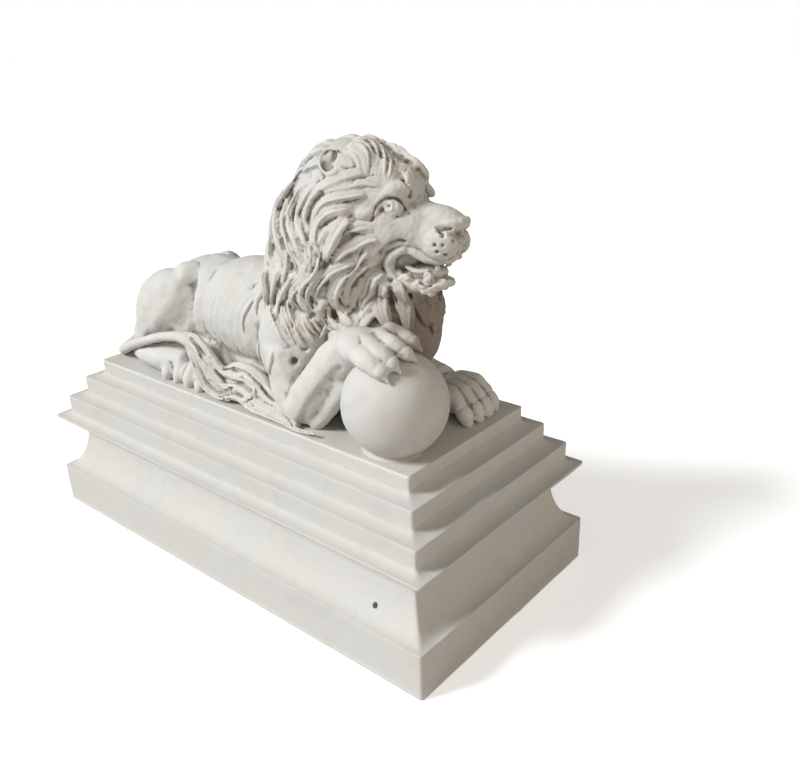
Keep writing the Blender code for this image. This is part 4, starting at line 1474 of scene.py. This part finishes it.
    def add_rows(self, clay: Clay) -> None:
        """Roots every row and lays its locks, leaving the forelegs and the rear of the trunk bare.

        Args:
            clay: Where they go.
        """
        side = self.axis.cross(Vector((0, 0, 1))).normalized()
        over = side.cross(self.axis)
        for row, degrees in enumerate(self.rows):
            polar = math.radians(degrees)
            around = int(2 * math.pi * 27 * math.sin(polar) / self.spacing)
            for k in range(around):
                rng = random.Random(self.seed * 1000 + row * 100 + k)
                angle = 2 * math.pi * (k + 0.5 * (row % 2) + rng.uniform(-0.2, 0.2)) / around
                lean = polar + math.radians(rng.uniform(-3, 3))
                way = self.axis * math.cos(lean) + (over * math.cos(angle) + side
                                                    * math.sin(angle)) * math.sin(lean)
                place, normal, _, _ = self.skin.ray_cast(MANE_HEART, way)
                if place is None or place.z < self.bottom + 3 or place.x < self.back + 4:
                    continue
                if self.bare(place) or self.near(place) < self.clear:
                    continue
                phase = 3.0 + 4.0 * noise.noise(place * 0.03) + rng.uniform(-0.3, 0.3)
                self.lock(clay, (place, normal), rng.uniform(*self.lengths), rng.uniform(*self.widths),
                          phase, rng)

    def add_beard(self, clay: Clay) -> None:
        """Locks that hang from under the jaw over the chest.

        Args:
            clay: Where they go.
        """
        space = head_frame()
        for row, forward in enumerate((25, 19, 12, 5)):
            for k in range(-2, 3):
                rng = random.Random(self.seed * 5000 + row * 100 + k)
                across = 3.4 * (k + 0.5 * (row % 2)) + rng.uniform(-0.4, 0.4)
                spot = space @ Vector((forward - abs(across) * 0.7, across, -25))
                place, normal, _, _ = self.skin.find_nearest(spot)
                if self.near(place) > self.clear:
                    self.lock(clay, (place, normal), rng.uniform(16, 24), rng.uniform(1.8, 2.6),
                              rng.uniform(1.5, 3.5), rng, 0.4)

    def add_ears(self, clay: Clay) -> None:
        """Short round ears low in the mane, each a rim whose hollow is carved later.

        Args:
            clay: Where they go.
        """
        clay.limb([(-5.0, -10.4, 19.2, 0.4), (-7.0, -9.6, 19.9, 0.5), (-9.6, -9.4, 19.4, 0.5),
                   (-10.8, -10.9, 17.4, 0.5), (-9.9, -12.9, 15.2, 0.5), (-7.6, -14.4, 13.7, 0.6),
                   (-5.0, -15.3, 12.7, 0.9), (-2.6, -14.9, 13.3, 0.8)],
                  head_frame(), Sides.BOTH, facets=8, steps=5)


def add_skull(clay: Clay) -> None:
    """The masses of the head in the head's own frame, without its features.

    Args:
        clay: Where they go.
    """
    space = head_frame()
    both = Sides.BOTH
    clay.mass((0, 0, 2), (19, 15.5, 17), space=space)
    clay.mass((8, 0, 8), (11, 11, 8.0), space=space)
    clay.mass((14.2, 6.2, 6.6), (6, 4.6, 3.8), (0, 16, 24), space)
    clay.mass((11.6, -6.2, 7.0), (5.6, 4.8, 4.0), (0, 10, -24), space)
    clay.mass((8, -9.0, -4.5), (11, 5.4, 8.0), (0, 6, 10), space, both)
    clay.mass((16.5, -6.0, -3.6), (9.0, 4.6, 6.6), (0, 8, 16), space, both)
    clay.mass((4.0, -10.2, -7.0), (9.0, 4.6, 9.0), (0, 0, 4), space, both)
    clay.limb([(12, 0, 3.6, 5.6), (20, 0, 0.6, 5.4), (26, 0, -0.6, 5.6), (30.5, 0, -1.6, 4.8)], space,
              flat=0.8)
    clay.mass((21, 0, -5.5), (11, 8.8, 8.0), space=space)
    clay.mass((26.8, -4.0, -7.4), (6.8, 5.2, 6.4), (0, 0, 0), space, both)
    clay.mass((31.4, 0, -1.6), (3.2, 5.2, 2.8), (0, 25, 0), space)
    clay.limb([(4, -8.5, -18, 3.6), (14, -7.2, -20.6, 2.8), (22, -5.4, -21.2, 2.3), (29, -2, -20.2, 1.8)],
              space, both)
    clay.mass((16, 0, -21.0), (12, 6.6, 3.6), (0, -8, 0), space)
    clay.mass((5, 0, -15), (12, 9.5, 8.5), space=space)
    clay.mass((12, 0, -14), (8, 6.0, 7), space=space)


@dataclass
class Face(Piece):
    """The head with its features: heavy brows over drilled eyes, a long nose and a snarling mouth."""

    voxel: float = 0.36

    def mesh(self) -> bmesh.types.BMesh:
        """Builds the head.

        Returns:
            Its mesh.
        """
        rough = Clay()
        add_skull(rough)
        soft = skinned("skull", rough.bm, 0.6, 14)
        self.open(soft)
        mesh = bpy.data.meshes.new("skull")
        soft.to_mesh(mesh)
        soft.free()
        clay = Clay()
        clay.bm.from_mesh(mesh)
        bpy.data.meshes.remove(mesh)
        self.add_features(clay)
        skin = skinned("face", clay.bm, self.voxel, 3)
        self.carve(skin)
        return placed(roughened(skin, 0.2, 0.14))

    def open(self, skin: bmesh.types.BMesh) -> None:
        """Opens the sockets and the mouth before the features are laid in.

        Args:
            skin: The bare head.
        """
        space = head_frame()
        both = Sides.BOTH
        chisel = Chisel(skin)
        chisel.stroke([(10.0, -12, 2.6, 2.0), (12.6, -10.5, 3.4, 2.8), (15.4, -8, 2.8, 2.2)], 1.7, space,
                      both)
        chisel = Chisel(skin)
        chisel.stroke([(17.0, -9, -12.4, 2.6), (20.0, -8.5, -12.6, 3.2), (24.5, -7.5, -15.4, 3.0),
                       (29, -5, -16, 2.6)],
                      4.2, space, both, along=(-0.2, 1, 0))
        chisel.stroke([(17.4, -10, -9.2, 1.2), (15.4, -11.2, -10.2, 1.8), (13.2, -12, -12.0, 2.3),
                       (11.6, -12.2, -14.4, 2.2), (10.6, -12.2, -17.0, 2.0), (8.0, -12.6, -17.8, 1.6)], 1.3,
                      space, both)
        chisel.stroke([(33.5, -2.4, -5.4, 2.4), (33.5, 0, -5.4, 2.6)], 1.5, space, both)

    def add_features(self, clay: Clay) -> None:
        """Eyeballs, lids, brow ridges, nose wings, lips, tongue and teeth.

        Args:
            clay: Where they go.
        """
        space = head_frame()
        both = Sides.BOTH
        clay.mass((12.7, -7.9, 2.8), (4.6, 3.3, 3.7), (0, 0, -30), space, both)
        clay.limb([(9.4, -12.7, 1.2, 0.5), (11.1, -12.0, 0.2, 0.7), (13.4, -10.9, -0.3, 0.7),
                   (15.6, -9.2, -0.2, 0.6), (17.0, -7.4, 1.2, 0.5)], space, both, facets=10)
        clay.limb([(17.0, -4.6, 8.6, 2.2), (15.0, -6.6, 8.6, 2.6), (13.1, -8.2, 8.0, 2.6),
                   (11.0, -9.6, 6.6, 2.4), (8.8, -11.0, 4.2, 2.4), (6.8, -12.0, 2.2, 2.5),
                   (4.8, -12.6, 1.0, 2.1)], space, both, facets=14)
        clay.limb([(27.6, -5.0, -0.8, 0.6), (29.4, -4.6, -0.9, 0.9), (31.6, -3.8, -0.8, 1.2),
                   (33.3, -1.8, -0.8, 1.5)],
                  space, both, facets=12)
        clay.mass((33.2, 0, -1.4), (1.9, 3.0, 2.0), (0, 10, 0), space)
        clay.limb([(17.6, -8.6, -9.0, 1.2), (15.0, -9.0, -10.4, 1.8), (12.8, -8.6, -12.4, 2.0),
                   (11.8, -8.0, -15.0, 1.9), (12.6, -8.0, -17.4, 1.6), (14.0, -8.2, -19.2, 1.2)], space,
                  both, facets=12, flat=0.9)
        clay.limb([(9.6, -11.6, 2.0, 1.6), (6.9, -13.0, 1.5, 2.2), (4.2, -13.9, 0.9, 2.0)], space, both,
                  facets=14)
        clay.limb([(16.6, -7.8, -9.8, 1.2), (19.2, -7.2, -9.8, 1.6), (21.6, -6.6, -11.0, 1.7),
                   (24.4, -5.8, -12.2, 1.6), (27.6, -4.8, -12.4, 1.5), (30.4, -3.0, -12.0, 1.3),
                   (31.5, -0.8, -11.6, 1.0)], space, both, facets=12)
        clay.mass((18.5, 0, -17.4), (9.5, 6.2, 2.8), (0, -4, 0), space)
        clay.limb([(16.2, -5.8, -15.0, 0.7), (17.8, -6.2, -15.4, 1.0), (19.8, -6.0, -16.2, 1.1),
                   (22.3, -5.6, -16.2, 1.0), (24.0, -5.2, -15.6, 0.7)], space, both, facets=10, flat=0.7)
        clay.mass((24.2, -5.4, -18.2), (1.7, 1.6, 1.8), (0, 0, 20), space, both)
        clay.limb([(26.4, -4.2, -13.6, 1.0), (26.8, -4.4, -15.6, 0.9)], space, both, facets=10)
        clay.limb([(23.6, -5.6, -22.0, 1.6), (25.8, -4.8, -21.2, 1.6), (27.8, -3.4, -20.5, 1.4),
                   (29.0, -1.8, -20.2, 1.2), (29.4, 0, -20.1, 1.2)], space, both, facets=12)
        clay.limb([(14.6, -7.4, -19.4, 1.0), (17.4, -7.0, -20.0, 1.2), (20.4, -6.4, -20.8, 1.5),
                   (23.6, -5.2, -21.4, 1.8)],
                  space, both, facets=10)
        rng = random.Random(3)
        for _ in range(44):
            share = rng.random()
            at = (14.6 + 11.0 * share, -8.0 + 2.2 * share + rng.uniform(-0.4, 1.0),
                  -18.4 - 3.4 * share + rng.uniform(-1.9, 1.5))
            clay.mass(at, (rng.uniform(0.7, 1.7), 1.3, rng.uniform(0.4, 1.0)),
                      (rng.uniform(-40, 40), rng.uniform(-60, 60), rng.uniform(-40, 40)), space, both,
                      detail=2)

    def carve(self, skin: bmesh.types.BMesh) -> None:
        """Cuts pupils, nostrils, whisker holes, frown and the lines round eyes and mouth.

        Args:
            skin: The head's skin in figure units.
        """
        space = head_frame()
        both = Sides.BOTH
        chisel = Chisel(skin)
        chisel.stroke([(3.1, -15.2, 1.9, 0.6), (3.3, -15.1, 0.1, 0.8), (4.6, -14.7, -1.4, 0.9),
                       (6.8, -14.3, -1.6, 0.9), (8.6, -13.7, -0.6, 0.8), (9.5, -13.4, 0.6, 0.6)], 0.9,
                      space, both)
        chisel.stroke([(27.2, -7, -1.9, 0.6), (28.4, -6.5, -1.9, 0.9), (30.0, -5.8, -2.3, 0.9),
                       (31.6, -5, -2.5, 0.6)],
                      1.5, space, both)
        chisel.stroke([(28.2, -7.0, -2.9, 1.1), (29.4, -6.6, -3.6, 1.3), (29.4, -7.0, -4.8, 0.9)], 2.2,
                      space, both)
        chisel.stroke([(30.6, -5.7, -4.0, 1.4), (32.0, -4.6, -4.4, 1.7), (33.2, -3.0, -4.2, 1.4)], 0.8,
                      space, both)
        for f, l, u in ((27.6, -9.1, -7.0), (30.3, -8.4, -7.2), (28.5, -8.7, -9.4), (30.6, -7.5, -10.3),
                        (32.7, -5.9, -5.9), (33.4, -3.5, -7.6), (33.4, -3.2, -9.4)):
            chisel.stroke([(f, l, u, 0.8), (f, l, u, 0.8)], 1.1, space, both, steps=1, edge=1.2)
        for f, l, u in ((15.3, -9.4, 0.9), (17.6, -6.4, -0.2)):
            chisel.stroke([(f, l, u, 0.5), (f, l, u, 0.5)], 0.7, space, both, steps=1)
        chisel.stroke([(9.3, -13.4, 1.4, 0.4), (10.0, -13.0, 3.5, 0.6), (11.2, -12.1, 5.0, 0.8),
                       (12.5, -11.2, 6.0, 0.9), (13.9, -10.5, 6.3, 0.9), (15.4, -9.6, 5.8, 0.8),
                       (16.3, -8.2, 4.4, 0.6), (16.9, -7.2, 2.8, 0.4)],
                      0.9, space, both)
        chisel.stroke([(15.2, -6.2, 10.6, 1.2), (16.6, -5.6, 8.8, 1.6), (17.6, -4.8, 6.4, 1.3)], 1.0, space)
        chisel.stroke([(17.4, 4.2, 8.0, 1.6), (17.4, 6.2, 6.0, 2.2), (16.6, 7.8, 4.0, 1.8)], 1.6, space)
        chisel.stroke([(18.2, -9.4, -6.6, 0.6), (16.6, -10.8, -6.5, 1.0), (14.8, -11.8, -7.2, 1.3),
                       (12.8, -12.0, -9.2, 1.5), (10.6, -11.6, -11.6, 1.4), (8.0, -11.2, -13.8, 1.2)], 1.3,
                      space, both)
        chisel.stroke([(15.4, -8, -14.8, 0.8), (15.4, -8, -12.8, 1.2), (17.0, -7.6, -12.2, 1.2),
                       (19.2, -7.2, -12.6, 1.1), (20.8, -6.8, -13.8, 0.9)], 1.8, space, both)
        chisel.stroke([(24.6, -7, -16.2, 0.5), (22.9, -7.4, -17.4, 0.6), (22.6, -7.2, -18.9, 0.6),
                       (24.0, -7, -20.2, 0.5), (25.8, -6.4, -19.8, 0.5), (26.8, -5.6, -17.4, 0.5)], 0.8,
                      space, both)
        chisel.stroke([(10.6, -11, -21.2, 1.0), (11.6, -10.8, -19.8, 1.4), (13.4, -10.4, -19.6, 1.7),
                       (15.6, -9.8, -20.8, 1.5), (17.4, -9.4, -22.2, 1.0)], 2.2, space, both)
        for k in range(-3, 4):
            chisel.stroke([(26.6 + 0.6 * k, -7, -21.0 + 0.24 * k, 0.3),
                           (27.2 + 0.6 * k, -5, -22.6 + 0.2 * k, 0.4)], 0.3,
                          space, both)
        chisel.stroke([(30.5, -4.4, -12.0, 1.8), (32.2, -3.4, -10.5, 2.0), (33.4, -2.2, -8.5, 1.6)], 1.0,
                      space, both)
        chisel.stroke([(34.2, 0, -5, 0.9), (34.4, 0, -9, 0.9), (33, 0, -12, 0.9)], 0.8, space)
        chisel = Chisel(skin)
        for angle in range(0, 360, 24):
            a = math.radians(angle)
            spot = (13.3 + 1.4 * math.cos(a), -11.2, 3.8 + 1.4 * math.sin(a), 0.65)
            chisel.stroke([spot, spot], -0.3, space, both, steps=1)
        chisel.stroke([(13.3, -11.2, 3.8, 0.9), (13.3, -11.2, 3.9, 0.9)], 0.8, space, both, steps=1)


@dataclass
class Studio:
    """Floor, sky, lamps and camera."""

    lens: float = 37.73
    azimuth: float = 40.788
    elevation: float = 23.252
    roll: float = -1.977
    place: Place = (0.223925, -0.197635, 0.187808)

    def add_camera(self) -> None:
        """Puts the camera where the photograph was taken from."""
        az, el, roll = (math.radians(a) for a in (self.azimuth, self.elevation, self.roll))
        back = Vector((math.sin(az) * math.cos(el), -math.cos(az) * math.cos(el), math.sin(el)))
        right = (-back).cross(Vector((0, 0, 1))).normalized()
        up = right.cross(-back)
        across = right * math.cos(roll) + up * math.sin(roll)
        over = up * math.cos(roll) - right * math.sin(roll)
        data = bpy.data.cameras.new("camera")
        data.lens = self.lens
        data.sensor_width = 36.0
        data.clip_start = 0.01
        camera = bpy.data.objects.new("camera", data)
        camera.matrix_world = Matrix((across, over, back)).transposed().to_4x4()
        camera.location = self.place
        bpy.context.scene.collection.objects.link(camera)
        bpy.context.scene.camera = camera

    def add_sun(self, name: str, towards: Place, softness: float, strength: float, colour: Place) -> None:
        """Adds a broad soft light from one side, like a window's.

        Args:
            name: Its name.
            towards: The way from the lion to the light.
            softness: How wide the light is, in degrees.
            strength: How strong it is.
            colour: Its colour.
        """
        data = bpy.data.lights.new(name, "SUN")
        data.angle = math.radians(softness)
        data.energy = strength
        data.color = colour
        lamp = bpy.data.objects.new(name, data)
        lamp.rotation_mode = "QUATERNION"
        lamp.rotation_quaternion = Vector(towards).to_track_quat("Z", "Y")
        lamp.location = Vector(towards).normalized()
        bpy.context.scene.collection.objects.link(lamp)

    def add_floor(self) -> None:
        """A pale floor that the plinth stands on."""
        bm = bmesh.new()
        bmesh.ops.create_grid(bm, x_segments=2, y_segments=2, size=4.0)
        mesh = bpy.data.meshes.new("floor")
        bm.to_mesh(mesh)
        bm.free()
        material = bpy.data.materials.new("floor")
        material.use_nodes = True
        shader = material.node_tree.nodes["Principled BSDF"]
        graph = Graph(material.node_tree)
        seen = material.node_tree.nodes.new("ShaderNodeLightPath").outputs["Is Camera Ray"]
        graph.wire(graph.mix(seen, (0.52, 0.52, 0.54, 1.0), (0.97, 0.97, 0.97, 1.0)),
                   shader.inputs["Base Color"])
        shader.inputs["Roughness"].default_value = 0.9
        shader.inputs["Emission Color"].default_value = (1.0, 1.0, 1.0, 1.0)
        graph.wire(graph.maths("MULTIPLY", seen, 0.42), shader.inputs["Emission Strength"])
        mesh.materials.append(material)
        floor = bpy.data.objects.new("floor", mesh)
        bpy.context.scene.collection.objects.link(floor)

    def add_sky(self) -> None:
        """An even soft sky that the camera itself sees as plain white."""
        world = bpy.data.worlds.new("sky")
        world.use_nodes = True
        tree = world.node_tree
        sky = tree.nodes["Background"]
        sky.inputs["Color"].default_value = (0.97, 0.98, 1.0, 1.0)
        sky.inputs["Strength"].default_value = 0.24
        backdrop = tree.nodes.new("ShaderNodeBackground")
        backdrop.inputs["Color"].default_value = (1.0, 1.0, 1.0, 1.0)
        backdrop.inputs["Strength"].default_value = 1.0
        path = tree.nodes.new("ShaderNodeLightPath")
        either = tree.nodes.new("ShaderNodeMixShader")
        tree.links.new(path.outputs["Is Camera Ray"], either.inputs[0])
        tree.links.new(sky.outputs[0], either.inputs[1])
        tree.links.new(backdrop.outputs[0], either.inputs[2])
        tree.links.new(either.outputs[0], tree.nodes["World Output"].inputs["Surface"])
        bpy.context.scene.world = world

    def make(self) -> None:
        """Sets up everything round the object."""
        self.add_camera()
        self.add_floor()
        self.add_sky()
        self.add_sun("window", (-0.48, -0.72, 0.62), 18, 3.75, (0.98, 0.99, 1.0))
        self.add_sun("room", (0.9, -0.25, 0.40), 60, 0.95, (1.0, 0.82, 0.58))
        bpy.context.scene.view_settings.view_transform = "Standard"


def main() -> None:
    """Makes the pieces and the room round them."""
    logging.basicConfig(level=logging.INFO, format="%(message)s")
    Studio().make()
    # Each finish sets how strongly its hollows darken with dirt and painted shade, and how strong the
    # painted shade with dirt under the chin is.
    Plinth("plinth", Plaster("plaster_plinth", hollow_dirt_and_shade=0.55, warm=0.35)).make()
    Ball("ball", Plaster("plaster_ball", hollow_dirt_and_shade=0.3, warm=0.7)).make()
    Body("lion_body", Plaster("plaster_body", hollow_dirt_and_shade=0.8, chin_shade_and_dirt=0.9)).make()
    Tail("lion_tail", Plaster("plaster_tail", hollow_dirt_and_shade=0.9)).make()
    for name, half in (("mane_right", 1), ("mane_left", -1)):
        Mane(name, Plaster("plaster_mane", hollow_dirt_and_shade=1.0, warm=0.7, chin_shade_and_dirt=0.9), half).make()
    bpy.data.meshes.remove(Mane.whole)
    Mane.whole = None
    Face("lion_face", Plaster("plaster_face", hollow_dirt_and_shade=1.0, warm=0.8)).make()
    STOCK.clear()


if __name__ == "__main__":
    main()
